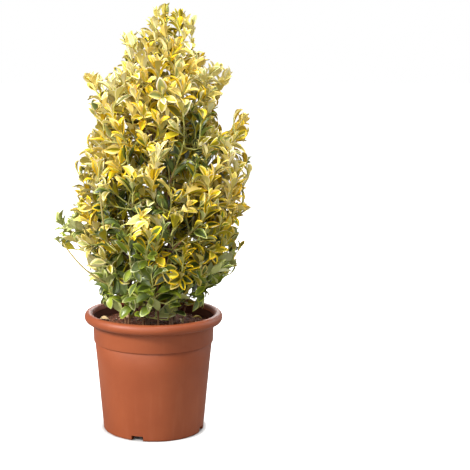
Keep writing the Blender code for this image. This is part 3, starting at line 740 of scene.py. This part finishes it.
def bladeShape(draw, size, low, share):
    # The points of one leaf round its base: across is X, the way it points Y, its face Z.
    rows = np.array(leaf["rows"])
    blade = np.clip((rows - rows[1]) / (1 - rows[1]), 0, 1)
    widest, blunt = draw.uniform(*leaf["widest"]), draw.uniform(*leaf["blunt"]) - leaf["lowBlunt"] * low
    half = np.sin(np.pi * blade**widest) ** blunt
    teeth = 1 + draw.uniform(0.0, leaf["teeth"]) * np.array([0, 0, 0, 1, -1, 1, -1, 1])
    length = leaf["length"] * size
    half = half * teeth * leaf["width"] * size * (leaf["halfWidth"] + leaf["lowWidth"] * low)
    half = half * draw.uniform(*leaf["widths"])
    half[:2] = leaf["stalk"]
    recurve = draw.uniform(*leaf["recurve"]) * (0.6 + 0.5 * share)
    rows = np.append(rows, 1.0)
    bend = -0.1 + recurve * rows**2.1
    steps = np.diff(rows) * length
    middle = (bend[1:] + bend[:-1]) / 2
    y = np.concatenate([[0], np.cumsum(np.cos(middle) * steps)])
    z = np.concatenate([[0], np.cumsum(-np.sin(middle) * steps)])
    centre = np.stack([np.zeros_like(y), y, z], axis=1)
    normal = np.stack([np.zeros_like(y), np.sin(bend), np.cos(bend)], axis=1)
    return centre, normal, half, blade


def bladePoints(draw, size, low, share, edgeShare):
    centre, normal, half, blade = bladeShape(draw, size, low, share)
    fold = math.radians(draw.uniform(*leaf["fold"])) * (1 - leaf["lowFold"] * low)
    roll, wave, phase = draw.uniform(0.0, leaf["roll"]), draw.uniform(0.0, leaf["wave"]), draw.uniform(0, 6.3)
    twist = draw.uniform(-leaf["twist"], leaf["twist"])
    patch = (1 - edgeShare) * np.clip(np.sin(np.pi * blade**0.85), 0.02, 1) ** 0.5
    points = []
    for i in range(len(half)):
        lines = [patch[i] * (1 + draw.uniform(-1, 1) * (0.05 + 0.4 * edgeShare)) for _ in range(2)]
        right, left = (min(0.95, max(0.1, line)) for line in lines)
        spots = np.array([1.0, right, right * 0.66, 0.0, -left * 0.66, -left, -1.0])
        under = np.array([-0.8, 0.0, 0.8])
        lean = twist * blade[i]
        for spot, depth in ((spots, 0.0), (under, leaf["thick"])):
            out = np.abs(spot)
            wavy = wave * math.sin(phase + 7 * blade[i]) * np.sign(spot) * out**2
            rise = (math.sin(fold) * out - roll * out**3 + wavy) * half[i]
            sideways = math.cos(fold) * spot * half[i]
            x = sideways * math.cos(lean) - rise * math.sin(lean)
            lift = sideways * math.sin(lean) + rise
            lift = lift - depth * (1 - out**2) * (1.0 + 0.6 * (out < 0.1))  # the midrib is thicker
            points.append(centre[i] + normal[i] * lift[:, None] + np.outer(x, (1, 0, 0)))
    points.append(centre[-1:])
    return np.concatenate(points)


def bladeFaces():
    # Zones: 0 edge, 1 blend, 2 centre, 3 edge beneath, 4 middle beneath, 5 stalk.
    zones = (0, 1, 2, 2, 1, 0, 3, 4, 4, 3)
    faces, kinds = [], []
    last = (len(leaf["rows"]) - 1) * inRow
    for start in range(0, last, inRow):
        for i in range(inRow):
            a, b = start + i, start + (i + 1) % inRow
            faces.append((a, b, b + inRow, a + inRow))
            kinds.append(zones[i] if start else 5)
    for i in range(inRow):
        faces.append((last + i, last + (i + 1) % inRow, last + inRow))
        kinds.append(0 if i < 6 else 3)
    faces.append(tuple(reversed(range(inRow))))
    kinds.append(5)
    return faces, kinds


bladeQuads, bladeZones = bladeFaces()
coarse = [row * inRow + i for row in range(2, len(leaf["rows"])) for i in (0, 3, 6)]  # edge, midrib, edge
coarseFaces = [(a, a + 1, a + 4, a + 3) for row in range(len(leaf["rows"]) - 3)
               for a in (row * 3, row * 3 + 1)]


def freeCell(points, hanging):
    # Where a leaf is noted if it keeps clear of the pot, the soil, the crown's outline and other leaves.
    tips = [Vector(points[i]) for i in (-1, 5 * inRow, 5 * inRow + 6)]  # its tip, its edges halfway
    if not all(inCrown(tip, leaf["spare"]) for tip in tips):
        return None
    if any(tip.y < crown["hollowDepth"] and overHollow(tip) for tip in tips):
        return None
    if min(tip.z for tip in tips) < leaf["lowest"] and not hanging:
        return None
    inner, outer = pot["mouth"] - leaf["rimRoom"], pot["rimRadius"] + leaf["rimRoom"]
    for place in tips + [Vector(points[7 * inRow + 3])]:
        if place.z < soil["top"] + leaf["soilRoom"]:
            return None
        if place.z < pot["height"] + leaf["aboveRim"] and inner < place.xy.length < outer:
            return None
    tree = BVHTree.FromPolygons([tuple(p) for p in points[coarse]], coarseFaces)
    middle = points[4 * inRow:5 * inRow].mean(axis=0)
    cell = tuple(int(c // leaf["grid"]) for c in middle)
    for step in product((-1, 0, 1), repeat=3):
        for place, other in gridCells.get(tuple(a + b for a, b in zip(cell, step)), ()):
            if np.abs(place - middle).max() < leaf["near"] and other.overlap(tree):
                return None
    return cell, (middle, tree)


def alongShoot(shoot, back):
    points, radii = shoot["points"], shoot["radii"]
    for i in range(len(points) - 1, 0, -1):
        a, b = points[i - 1], points[i]
        if back <= (b - a).length:
            return b + (a - b).normalized() * back, (b - a).normalized(), radii[i]
        back -= (b - a).length
    return points[0].copy(), (points[1] - points[0]).normalized(), radii[0]


def leafKind(node, pair, spray, draw):
    # Mostly its spray's kind, but often a dark one deep inside, late on a shoot or over a hollow: painted
    # shade.
    height = crownShare(node.z)
    dark = leaf["latePaintedShade"] * (1 - height) if pair > 4 else 0
    if depthIn(node) > leaf["inner"]:
        dark = leaf["innerDark"] - leaf["innerLess"] * height
    kind = spray if draw.random() < leaf["ownKind"] else spraySort(node, draw)
    if draw.random() < dark:
        kind = "old" if draw.random() > 3 * height else "shaded"
    if overHollow(node):
        kind = "old" if draw.random() < leaf["hollowGreenShade"] else "shaded"
    return kind


def leafPair(shoot, back, pair, turn, spray, draw):
    # Two opposite leaves, each tried smaller while it has no room. Returns how many have grown.
    node, axis, radius = alongShoot(shoot, back)
    last = min(pair, 5)
    share = last / 5
    side = squareTo(axis, aside)
    other = axis.cross(side)
    low, foot = (max(0.0, 1 - crownShare(node.z) / leaf[part]) for part in ("lowShare", "footShare"))
    grown = 0
    for flip in (0, 180):
        if pair > 2 and draw.random() < leaf["drop"]:
            continue
        kind = leafKinds[leafKind(node, pair, spray, draw)]
        hanging = draw.random() < leaf["hanging"] or "facing" in shoot
        for smaller in leaf["tries"]:
            swing = math.radians(turn + 90 * pair + flip + draw.uniform(-1, 1) * leaf["swingSpread"])
            outward = side * math.cos(swing) + other * math.sin(swing)
            angle = leaf["angles"][last] * (1 + leaf["lowAngle"] * low)
            angle = math.radians(angle + draw.uniform(-1, 1) * leaf["angleSpread"])
            way = axis * math.cos(angle) + outward * math.sin(angle)
            way = (way - up * (low * draw.uniform(0.2, 1.0) * share)).normalized()
            face = squareTo(way, shoot.get("facing", axis) + up * leaf["faceUp"])
            size = leaf["sizes"][last] * smaller * (1 + draw.uniform(-1, 1) * leaf["sizeSpread"])
            size *= 1 + leaf["lowSize"] * low + leaf["footSize"] * foot * draw.uniform(*leaf["footSizes"])
            local = bladePoints(draw, size, low, share, draw.uniform(*kind["edgeShare"]))
            base = node + outward * (radius * 0.5)
            points = local @ np.array([way.cross(face), way, face]) + np.array(base)
            free = freeCell(points, hanging)
            if free:
                gridCells.setdefault(free[0], []).append(free[1])
                zones = [draw.choice(names) for names in (*kind["zones"], ["stalk"])]
                leaves.append({"points": points, "node": shoot["mass"]["node"], "zones": zones})
                grown += 1
                break
    return grown


# Materials of the leaves: colours of the zones, dealt out by spray

leafColours = {  # name: base colour, roughness, gloss
    "gold": ((0.76, 0.51, 0.013), 0.44, 0.2),
    "saffron": ((0.72, 0.43, 0.009), 0.44, 0.2),
    "amber": ((0.5, 0.33, 0.008), 0.42, 0.2),
    "yellow": ((0.8, 0.62, 0.17), 0.44, 0.2),
    "straw": ((0.82, 0.71, 0.36), 0.46, 0.2),
    "ivory": ((0.84, 0.75, 0.58), 0.5, 0.2),
    "lime": ((0.57, 0.485, 0.024), 0.4, 0.3),
    "khaki": ((0.54, 0.46, 0.115), 0.46, 0.2),
    "olive": ((0.34, 0.28, 0.009), 0.4, 0.35),
    "moss": ((0.13, 0.112, 0.003), 0.42, 0.35),
    "umber": ((0.05, 0.034, 0.002), 0.45, 0.2),
    "fresh": ((0.28, 0.34, 0.027), 0.36, 0.45),
    "green": ((0.13, 0.175, 0.014), 0.34, 0.5),
    "deep": ((0.03, 0.044, 0.005), 0.33, 0.5),
    "jade": ((0.125, 0.17, 0.04), 0.33, 0.5),
    "sage": ((0.37, 0.39, 0.135), 0.48, 0.2),
    # celadon: the pale margin of green leaves, its paleness partly painted sheen
    "celadon": ((0.55, 0.56, 0.29), 0.44, 0.2),
    "paleUnder": ((0.75, 0.65, 0.22), 0.62, 0.2),
    "creamUnder": ((0.75, 0.69, 0.37), 0.6, 0.2),
    "greyUnder": ((0.38, 0.41, 0.14), 0.62, 0.2),
    "stalk": ((0.52, 0.46, 0.12), 0.5, 0.2),
}
leafKinds = {  # the colours of its edge, blend and centre, then of its edge and middle beneath
    "golden": {"edgeShare": (0.2, 0.66), "zones": (
        ("gold", "yellow", "saffron", "yellow"), ("gold", "lime", "yellow", "khaki"),
        ("olive", "lime", "khaki", "olive"), ("yellow", "straw", "ivory"),
        ("paleUnder", "amber", "khaki", "yellow"))},
    "creamy": {"edgeShare": (0.08, 0.3), "zones": (
        ("straw", "yellow", "ivory"), ("khaki", "paleUnder", "celadon"), ("khaki", "sage", "olive", "sage"),
        ("ivory", "straw", "yellow"), ("creamUnder", "paleUnder", "creamUnder", "khaki"))},
    "margined": {"edgeShare": (0.1, 0.34), "zones": (
        ("gold", "yellow", "saffron", "amber"), ("lime", "olive", "moss"), ("green", "deep", "olive", "moss"),
        ("straw", "lime"), ("greyUnder", "olive", "khaki"))},
    "green": {"edgeShare": (0.03, 0.1), "zones": (
        ("celadon", "sage", "fresh", "fresh", "green", "jade"), ("fresh", "jade", "green"),
        ("green", "fresh", "jade"), ("sage", "celadon"), ("greyUnder", "jade", "sage"))},
    # old: dark greens, the lower crown's own colour, and painted shade where set deep inside or over a
    # hollow; shaded: dark olives and umbers, painted shade only
    "old": {"edgeShare": (0.02, 0.08), "zones": (
        ("sage", "green", "fresh", "deep"), ("green", "deep"), ("deep", "jade", "deep"),
        ("sage", "jade"), ("green", "jade", "olive"))},
    "shaded": {"edgeShare": (0.06, 0.3), "zones": (
        ("lime", "amber", "moss"), ("moss", "olive"), ("umber", "moss", "deep"),
        ("lime", "straw"), ("olive", "moss", "amber"))},
    # misty: greyish greens for the foot, their own colour paled further by painted sheen
    "misty": {"edgeShare": (0.03, 0.12), "zones": (
        ("sage", "celadon", "greyUnder", "fresh"), ("sage", "greyUnder", "fresh"),
        ("sage", "jade", "greyUnder", "fresh", "green"), ("celadon", "sage"),
        ("greyUnder", "celadon", "sage"))},
}
sprayShares = (  # crown share, then the share of golden, creamy, margined, green and old sprays
    (0.0, (0.0, 0.01, 0.03, 0.6, 0.36)), (0.16, (0.03, 0.05, 0.2, 0.54, 0.18)),
    (0.32, (0.34, 0.18, 0.35, 0.1, 0.03)), (0.62, (0.52, 0.34, 0.12, 0.02, 0.0)),
    (0.8, (0.28, 0.66, 0.06, 0.0, 0.0)), (1.01, (0.1, 0.84, 0.06, 0.0, 0.0)))


def leafFinish(name, colour, roughness, gloss):
    finish = Finish("leaf_" + name, {"Base Color": rgba(colour), "Specular IOR Level": gloss})
    finish.set("Roughness", roughness - 0.06 + 0.12 * finish.grain(160, 2))
    finish.relief(finish.grain(420, 3) + 0.6 * finish.grain(120, 1), 0.0004, 0.5)
    return finish.material


patches = (  # right, up, reach and spray of places that the front view shows in one colour; those with old and shaded sprays are painted shade
    (0.084, 0.662, 0.03, "old"), (0.08, 0.592, 0.034, "old"), (-0.19, 0.541, 0.034, "green"),
    (-0.14, 0.41, 0.045, "creamy"), (0.05, 0.69, 0.03, "creamy"), (-0.015, 0.53, 0.026, "creamy"),
    (0.125, 0.56, 0.04, "golden"), (-0.112, 0.56, 0.045, "creamy"), (0.08, 0.4, 0.055, "margined"),
    (0.13, 0.44, 0.045, "margined"), (-0.06, 0.375, 0.04, "green"), (-0.1, 0.515, 0.04, "golden"),
    (-0.079, 0.472, 0.038, "old"), (0.045, 0.595, 0.025, "shaded"), (-0.072, 0.603, 0.055, "golden"),
    (0.143, 0.535, 0.048, "golden"), (0.01, 0.5, 0.034, "creamy"), (-0.115, 0.44, 0.034, "golden"),
    (-0.192, 0.452, 0.06, "misty"), (-0.125, 0.385, 0.05, "misty"), (0.17, 0.38, 0.05, "misty"),
    (-0.06, 0.33, 0.04, "green"), (-0.11, 0.34, 0.04, "green"), (-0.1, 0.76, 0.055, "creamy"),
    (0.145, 0.755, 0.045, "creamy"), (0.2, 0.65, 0.045, "golden"), (0.05, 0.892, 0.03, "margined"),
    (-0.06, 0.7, 0.05, "golden"), (0.165, 0.61, 0.04, "creamy"))


def spraySort(tip, draw):
    for x, z, reach, kind in patches:
        near = tip.y < leaf["patchFront"] and math.hypot(tip.x - x, tip.z - z) < reach
        if near and draw.random() < leaf["patchShare"]:
            return kind
    height = min(1.0, max(0.0, crownShare(tip.z)))
    for (low, before), (high, after) in zip(sprayShares, sprayShares[1:]):
        if height < high:
            share = (height - low) / (high - low)
            weights = [a + (b - a) * share for a, b in zip(before, after)]
            return draw.choices(list(leafKinds)[:len(weights)], weights)[0]


leaves = []
leafDraw = random.Random(leaf["seed"])
for shoot in sorted(shoots, key=lambda shoot: depthIn(shoot["points"][-1])):  # the outer ones first
    spray = shoot.get("spray") or spraySort(shoot["points"][-1], leafDraw)
    turn = leafDraw.uniform(0, 90)
    back, pair = 0.001, 0
    room = min(shoot.get("leafy", leaf["leafyLength"]), pathLength(shoot["points"]) - leaf["bareFoot"])
    while back < room:
        if leafPair(shoot, back, pair, turn, spray, leafDraw) and "bare" not in shoot:
            shoot["bare"] = back
        back += leaf["spacings"][min(pair, 5)] * leafDraw.uniform(*leaf["spacingSpread"])
        pair += 1
print("leaves:", len(leaves))

leafNames = list(leafColours)
leafFinishes = [leafFinish(name, *leafColours[name]) for name in leafNames]
for first in range(0, len(masses), leaf["massesPerPiece"]):
    nodes = [mass["node"] for mass in masses[first:first + leaf["massesPerPiece"]]]
    name = "leaves_" + nodes[0].removeprefix("foliage_")
    chosen = [one for one in leaves if one["node"] in nodes]
    parts = [(one["points"], bladeQuads, [leafNames.index(one["zones"][zone]) for zone in bladeZones])
             for one in chosen]
    mesh = softMesh(name, *joined(parts), leafFinishes)
    addPiece(name, mesh, nodes)
    triangles = sum(len(polygon.vertices) - 2 for polygon in mesh.polygons)
    print(name, len(chosen), "leaves,", triangles, "triangles")


# Limbs: stems and boughs with bark relief, and plain smooth twigs

def limbShape(points, radii, sides, relief, seed):
    # Rings round a path that turn with it as little as they can, roughened into long ridges.
    rings = []
    side = squareTo((points[1] - points[0]).normalized(), aside)
    travelled = 0.0
    for i, point in enumerate(points):
        along = (points[min(i + 1, len(points) - 1)] - points[max(i - 1, 0)]).normalized()
        side = squareTo(along, side)
        other = along.cross(side)
        travelled += (point - points[max(i - 1, 0)]).length
        for j in range(sides):
            turn = 2 * math.pi * j / sides
            ridge = noise.noise(Vector((math.cos(turn) * 2.2 + seed, math.sin(turn) * 2.2, travelled * 60)))
            fine = noise.noise(Vector((math.cos(turn) * 5, math.sin(turn) * 5 + seed, travelled * 260)))
            radius = radii[i] * (1 + relief * (ridge + 0.5 * fine))
            rings.append(point + (side * math.cos(turn) + other * math.sin(turn)) * radius)
    last = len(rings) - sides
    faces = [(i + j, i + (j + 1) % sides, i + (j + 1) % sides + sides, i + j + sides)
             for i in range(0, last, sides) for j in range(sides)]
    return rings, faces + [tuple(reversed(range(sides))), tuple(range(last, len(rings)))]


def barkFinish():
    finish = Finish("bark", {"Specular IOR Level": 0.2})
    ridges = finish.grain(300, 4, (1, 1, 0.22))
    mottle = finish.grain(26, 3, (1, 1, 0.5))
    young, old = finish.colours(ridges, stem["young"]), finish.colours(ridges, stem["old"])
    finish.set("Base Color", finish.blended(finish.steps(mottle, ((0.4, 0), (0.6, 1))), old, young))
    finish.set("Roughness", 0.72 + 0.22 * ridges)
    finish.relief(ridges + 0.4 * mottle, 0.0012)
    return finish.material


def twigFinish(name, colour):
    finish = Finish("twig_" + name, {"Base Color": rgba(colour), "Specular IOR Level": 0.3})
    finish.set("Roughness", 0.55 + 0.2 * finish.grain(200, 2))
    finish.relief(finish.grain(500, 3, (1, 1, 0.3)), 0.0004)
    return finish.material


bark = barkFinish()
for name, limbs, measures in (("stems", stems, stem), ("boughs", boughs, bough)):
    parts = []
    for i, limb in enumerate(limbs):
        shape = limbShape(limb["points"], limb["radii"], measures["sides"], measures["bark"], i * 7.3)
        parts.append((*shape, [0] * len(shape[1])))
    nodes = [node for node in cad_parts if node.startswith(name[:-1] + "_")]
    addPiece(name, softMesh(name, *joined(parts), [bark]), nodes)
print("stems and boughs made")


def suckerPaths():
    # The thin stems out of the soil, then the bare stretches of young stem.
    lines = []
    for foot, end in twig["suckers"]:
        start, end = Vector((*foot, soil["top"] - soil["rootDepth"])), Vector(end)
        first, last = twig["suckerEase"]
        rise = up * (end.z - start.z) * first
        lines.append(((start, start + rise, end - rise * last, end), twig["suckerRadius"], "brown"))
    lines += [([Vector(point) for point in cane], twig["radius"], "olive") for cane in twig["canes"]]
    count = twig["suckerPoints"]
    return [{"points": bezier(*line, count), "radii": tapered(radius, twig["sideRadius"], count),
             "colour": colour} for line, radius, colour in lines]


def withoutBareEnd(shoot):
    # What is left of a shoot up to its last leaf or fork.
    points = shoot["points"]
    kept = pathLength(points) - shoot.get("bare", pathLength(points))
    count = max(shoot["forked"], sum(pathLength(points[:i + 1]) < kept for i in range(len(points)))) + 1
    return {"points": points[:count], "radii": shoot["radii"][:count]}


def twigPiece():
    parts = []
    sides, names = twig["sides"], list(twig["colours"])
    limbs = [withoutBareEnd(shoot) for shoot in shoots]
    for i, shoot in enumerate([limb for limb in limbs if len(limb["points"]) > 2] + suckerPaths()):
        line, radii = list(shoot["points"]), list(shoot["radii"])
        heading = (line[-1] - line[-2]).normalized()
        for out, width in twig["bud"]:
            line.append(shoot["points"][-1] + heading * (twig["budLength"] * out))
            radii.append(twig["tipRadius"] * width)
        left, slots = pathLength(line), []
        for a, b in zip(line, line[1:]):
            left -= (b - a).length
            colour = next(name for name, (reach, _) in twig["colours"].items() if left < reach)
            slots += [names.index(shoot.get("colour", colour))] * sides
        slots += [names.index("brown"), names.index("green")]  # its foot and its end
        parts.append((*limbShape(line, radii, sides, twig["bark"], i * 3.1), slots))
    finishes = [twigFinish(name, colour) for name, (_, colour) in twig["colours"].items()]
    return softMesh("twigs", *joined(parts), finishes)


addPiece("twigs", twigPiece())
makePot()
print("twigs and pot made")


# Soil, with chips of bark, small stones and a few fallen leaves

litter = {
    "lumps": (  # name, how many, size, flatness, colours, roughness, grain, crease
        ("barkChips", 420, (0.002, 0.0065), 0.22, ("chip", "paleChip", "darkChip"), 0.75, 260, 25),
        ("smallStones", 260, (0.0009, 0.0026), 0.7, ("crumb", "stone", "chip"), 0.8, 500, 40)),
    "lumpPoints": 9, "reach": 0.96, "shares": (0.5, 0.2, 0.3), "seed": 5,
    "fallen": (  # where leaves lie, and which colour they have: 0 dry, 1 yellow
        (-0.044, 0.02, 0), (-0.018, 0.004, 0), (0.03, 0.01, 1), (-0.074, 0.022, 0), (0.062, 0.006, 0),
        (0.016, 0.066, 0), (-0.052, 0.07, 0), (0.086, 0.02, 1), (-0.098, 0.004, 0)),
    "fallenSize": (0.45, 0.75), "fallenHeight": 0.006,
    "colours": {
        "chip": (0.22, 0.11, 0.06), "paleChip": (0.52, 0.36, 0.22), "darkChip": (0.07, 0.035, 0.022),
        "stone": (0.42, 0.36, 0.29), "crumb": (0.055, 0.03, 0.02),
        "dryLeaf": (0.56, 0.4, 0.21), "yellowLeaf": (0.72, 0.56, 0.15)},
}


def soilHeight(x, y):
    spot = Vector((x, y, 0))
    lumps = noise.fractal(spot * 70, 0.9, 2.1, 4) * soil["relief"]
    edge = Vector((x, y)).length / potInner(soil["top"]) - soil["edgeStart"]
    return soil["top"] + lumps - soil["edgeDrop"] * max(0.0, edge) / (1 - soil["edgeStart"])


def soilMesh():
    profile = [(0, soil["top"])]
    radius = potInner(soil["top"]) - soil["gap"]
    profile += [(radius * (i + 1) / soil["rings"], soil["top"]) for i in range(soil["rings"])]
    low = pot["floor"] + soil["gap"]
    profile += [(potInner(z) - soil["gap"], z) for z in (pot["innerRings"][0], low)] + [(0, low)]
    mesh = turnedMesh("soilBody", profile, soil["turns"])
    for vertex in mesh.vertices:
        if vertex.co.z > soil["top"] - 0.001:
            vertex.co.z = soilHeight(vertex.co.x, vertex.co.y)
    mesh.shade_smooth()
    return mesh


def soilFinish():
    finish = Finish("soil", {"Specular IOR Level": 0.15})
    crumbs, damp = finish.grain(520, 5), finish.grain(30, 3)
    dark, dry = finish.colours(crumbs, soil["damp"]), finish.colours(crumbs, soil["dry"])
    finish.set("Base Color", finish.blended(finish.steps(damp, ((0.4, 0), (0.62, 1))), dark, dry))
    finish.set("Roughness", 0.8 + 0.18 * crumbs)
    finish.relief(crumbs, 0.0022)
    return finish.material


def turnedBy(angle, a, b):
    return a * math.cos(angle) - b * math.sin(angle), a * math.sin(angle) + b * math.cos(angle)


def scattered(count, size, flat, draw):
    # Small angular lumps lying on the soil, each the hull of a few points.
    parts = []
    for _ in range(count):
        azimuth = draw.uniform(0, 360)
        place = polar(azimuth, potInner(soil["top"]) * litter["reach"] * math.sqrt(draw.random()))
        long = draw.uniform(*size)
        shape = bmesh.new()
        for _ in range(litter["lumpPoints"]):
            spot = Vector([draw.gauss(0, 1) for _ in range(3)]).normalized()
            shape.verts.new((spot.x * long, spot.y * long * draw.uniform(0.35, 0.6), spot.z * long * flat))
        bmesh.ops.convex_hull(shape, input=shape.verts)
        for stray in [v for v in shape.verts if not v.link_faces]:
            shape.verts.remove(stray)
        spin, tilt = draw.uniform(0, 6.3), draw.uniform(-0.35, 0.35)
        shape.verts.index_update()
        points = []
        for vertex in shape.verts:
            x, z = turnedBy(tilt, vertex.co.x, vertex.co.z)
            x, y = turnedBy(spin, x, vertex.co.y)
            spot = Vector((x, y, z)) + place
            spot.z += soilHeight(place.x, place.y) + long * flat * 0.3
            points.append(spot)
        kind = draw.choices(range(3), litter["shares"])[0]
        faces = [[vertex.index for vertex in face.verts] for face in shape.faces]
        parts.append((points, faces, [kind] * len(faces)))
        shape.free()
    return joined(parts)


def fallenLeaves(draw):
    parts = []
    for x, y, colour in litter["fallen"]:
        local = bladePoints(draw, draw.uniform(*litter["fallenSize"]), 0, 0.8, 0.4)
        turn = draw.uniform(0, 6.3)
        way = Vector((math.cos(turn), math.sin(turn), 0.05)).normalized()
        face = squareTo(way, up + Vector((draw.uniform(-0.4, 0.4), draw.uniform(-1.0, 0.2), 0)))
        base = Vector((x, y, soilHeight(x, y) + litter["fallenHeight"]))
        points = local @ np.array([way.cross(face), way, face]) + np.array(base)
        parts.append((points, bladeQuads, [colour] * len(bladeQuads)))
    return joined(parts)


soilBody = addPiece("soilBody", soilMesh(), ["soil"])
soilBody.data.materials.append(soilFinish())
litterDraw = random.Random(litter["seed"])
for name, count, size, flat, colours, roughness, grain, crease in litter["lumps"]:
    finishes = [plainFinish(colour, litter["colours"][colour], roughness, grain) for colour in colours]
    lumps = scattered(count, size, flat, litterDraw)
    addPiece(name, softMesh(name, *lumps, finishes, crease))
finishes = [plainFinish(name, litter["colours"][name], 0.7, 300) for name in ("dryLeaf", "yellowLeaf")]
addPiece("fallenLeaves", softMesh("fallenLeaves", *fallenLeaves(litterDraw), finishes))
print("soil made")


# Studio and camera

studio = {
    "floor": (0.5, 0.5, 0.5), "bounce": (0.24, 0.24, 0.23), "glowReach": 1.4,
    # glow: the floor's glow by distance from the pot, none close round it, which paints a contact shadow
    "glow": ((0.08, 0.0), (0.087, 0.75), (0.5, 1.0)), "sky": 1.0, "fill": 0.28, "gloss": 0.28,
    "aim": (0, 0, 0.42), "reach": 40,
    "lamps": (  # name, watts, place, size, colour
        ("key", 256, (-2.9, -1.8, 2.5), 1.1, (1.0, 0.99, 0.97)),
        ("above", 142, (0.3, -0.8, 3.5), 1.5, (1.0, 0.99, 0.98)),
        ("front", 50, (-0.6, -3.4, 1.5), 2.0, (1.0, 0.99, 0.98)),
        ("edge", 40, (3.1, 1.3, 1.5), 1.4, (0.98, 0.99, 1.0)),
        ("back", 90, (0.4, 3.2, 2.0), 2.0, (1.0, 0.99, 0.98))),
}


def areaLight(name, power, place, size, colour):
    lamp = bpy.data.lights.new(name, "AREA")
    lamp.energy = power
    lamp.size = size
    lamp.color = colour
    holder = inScene(name, lamp)
    holder.location = place
    aim = Vector(studio["aim"]) - Vector(place)
    holder.rotation_euler = aim.to_track_quat("-Z", "Y").to_euler()


def floorFinish():
    # The camera sees it white, with a faint shadow at the pot: its glow falls to none under the pot and close
    # round it, a painted contact shadow. It throws less light back on the plant.
    finish = Finish("floor", {"Base Color": rgba(studio["floor"]), "Roughness": 0.9,
                              "Specular IOR Level": 0.1, "Emission Strength": 1.0})
    away = finish.node("VectorMath", {"operation": "LENGTH"}, {0: finish.place()}, "Value")
    finish.set("Emission Color", finish.steps(away * (1 / studio["glowReach"]), studio["glow"]))
    bounce = finish.node("BsdfDiffuse", {}, {"Color": rgba(studio["bounce"])})
    seen = finish.node("LightPath", {}, {}, "Is Camera Ray")
    white = Wire(finish, finish.shader.outputs[0])
    finish.finishAs(finish.node("MixShader", {}, {0: seen, 1: bounce, 2: white}))
    return finish.material


def makeStudio():
    mesh = bpy.data.meshes.new("floor")
    far = studio["reach"]
    mesh.from_pydata([(-far, -far, 0), (far, -far, 0), (far, far, 0), (-far, far, 0)], [], [(0, 1, 2, 3)])
    mesh.materials.append(floorFinish())
    floor = inScene("floor", mesh)
    world = bpy.data.worlds.new("studio")
    bpy.context.scene.world = world
    room = Wiring(world)  # white to the camera, dim as a light, and between the two in gloss
    seen, light = (room.node("Background", {}, {"Color": rgba((1, 1, 1)), "Strength": studio[name]})
                   for name in ("sky", "fill"))
    glossy = room.node("LightPath", {}, {}, "Is Glossy Ray")
    white = glossy * studio["gloss"] + room.node("LightPath", {}, {}, "Is Camera Ray")
    room.finishAs(room.node("MixShader", {}, {0: white, 1: light, 2: seen}))
    for lamp in studio["lamps"]:
        areaLight(*lamp)
    bpy.context.scene.view_settings.view_transform = "Standard"


def makeCamera():
    data = bpy.data.cameras.new("camera")
    data.sensor_width = 36
    data.lens = view["focal"] * data.sensor_width / view["pixels"]
    data.shift_x = (view["pixels"] / 2 - view["axisColumn"]) / view["pixels"]
    camera = inScene("camera", data)
    camera.location = (0, -view["distance"], view["height"])
    camera.rotation_euler = (math.pi / 2 - view["down"], 0, 0)
    bpy.context.scene.camera = camera


makeStudio()
makeCamera()
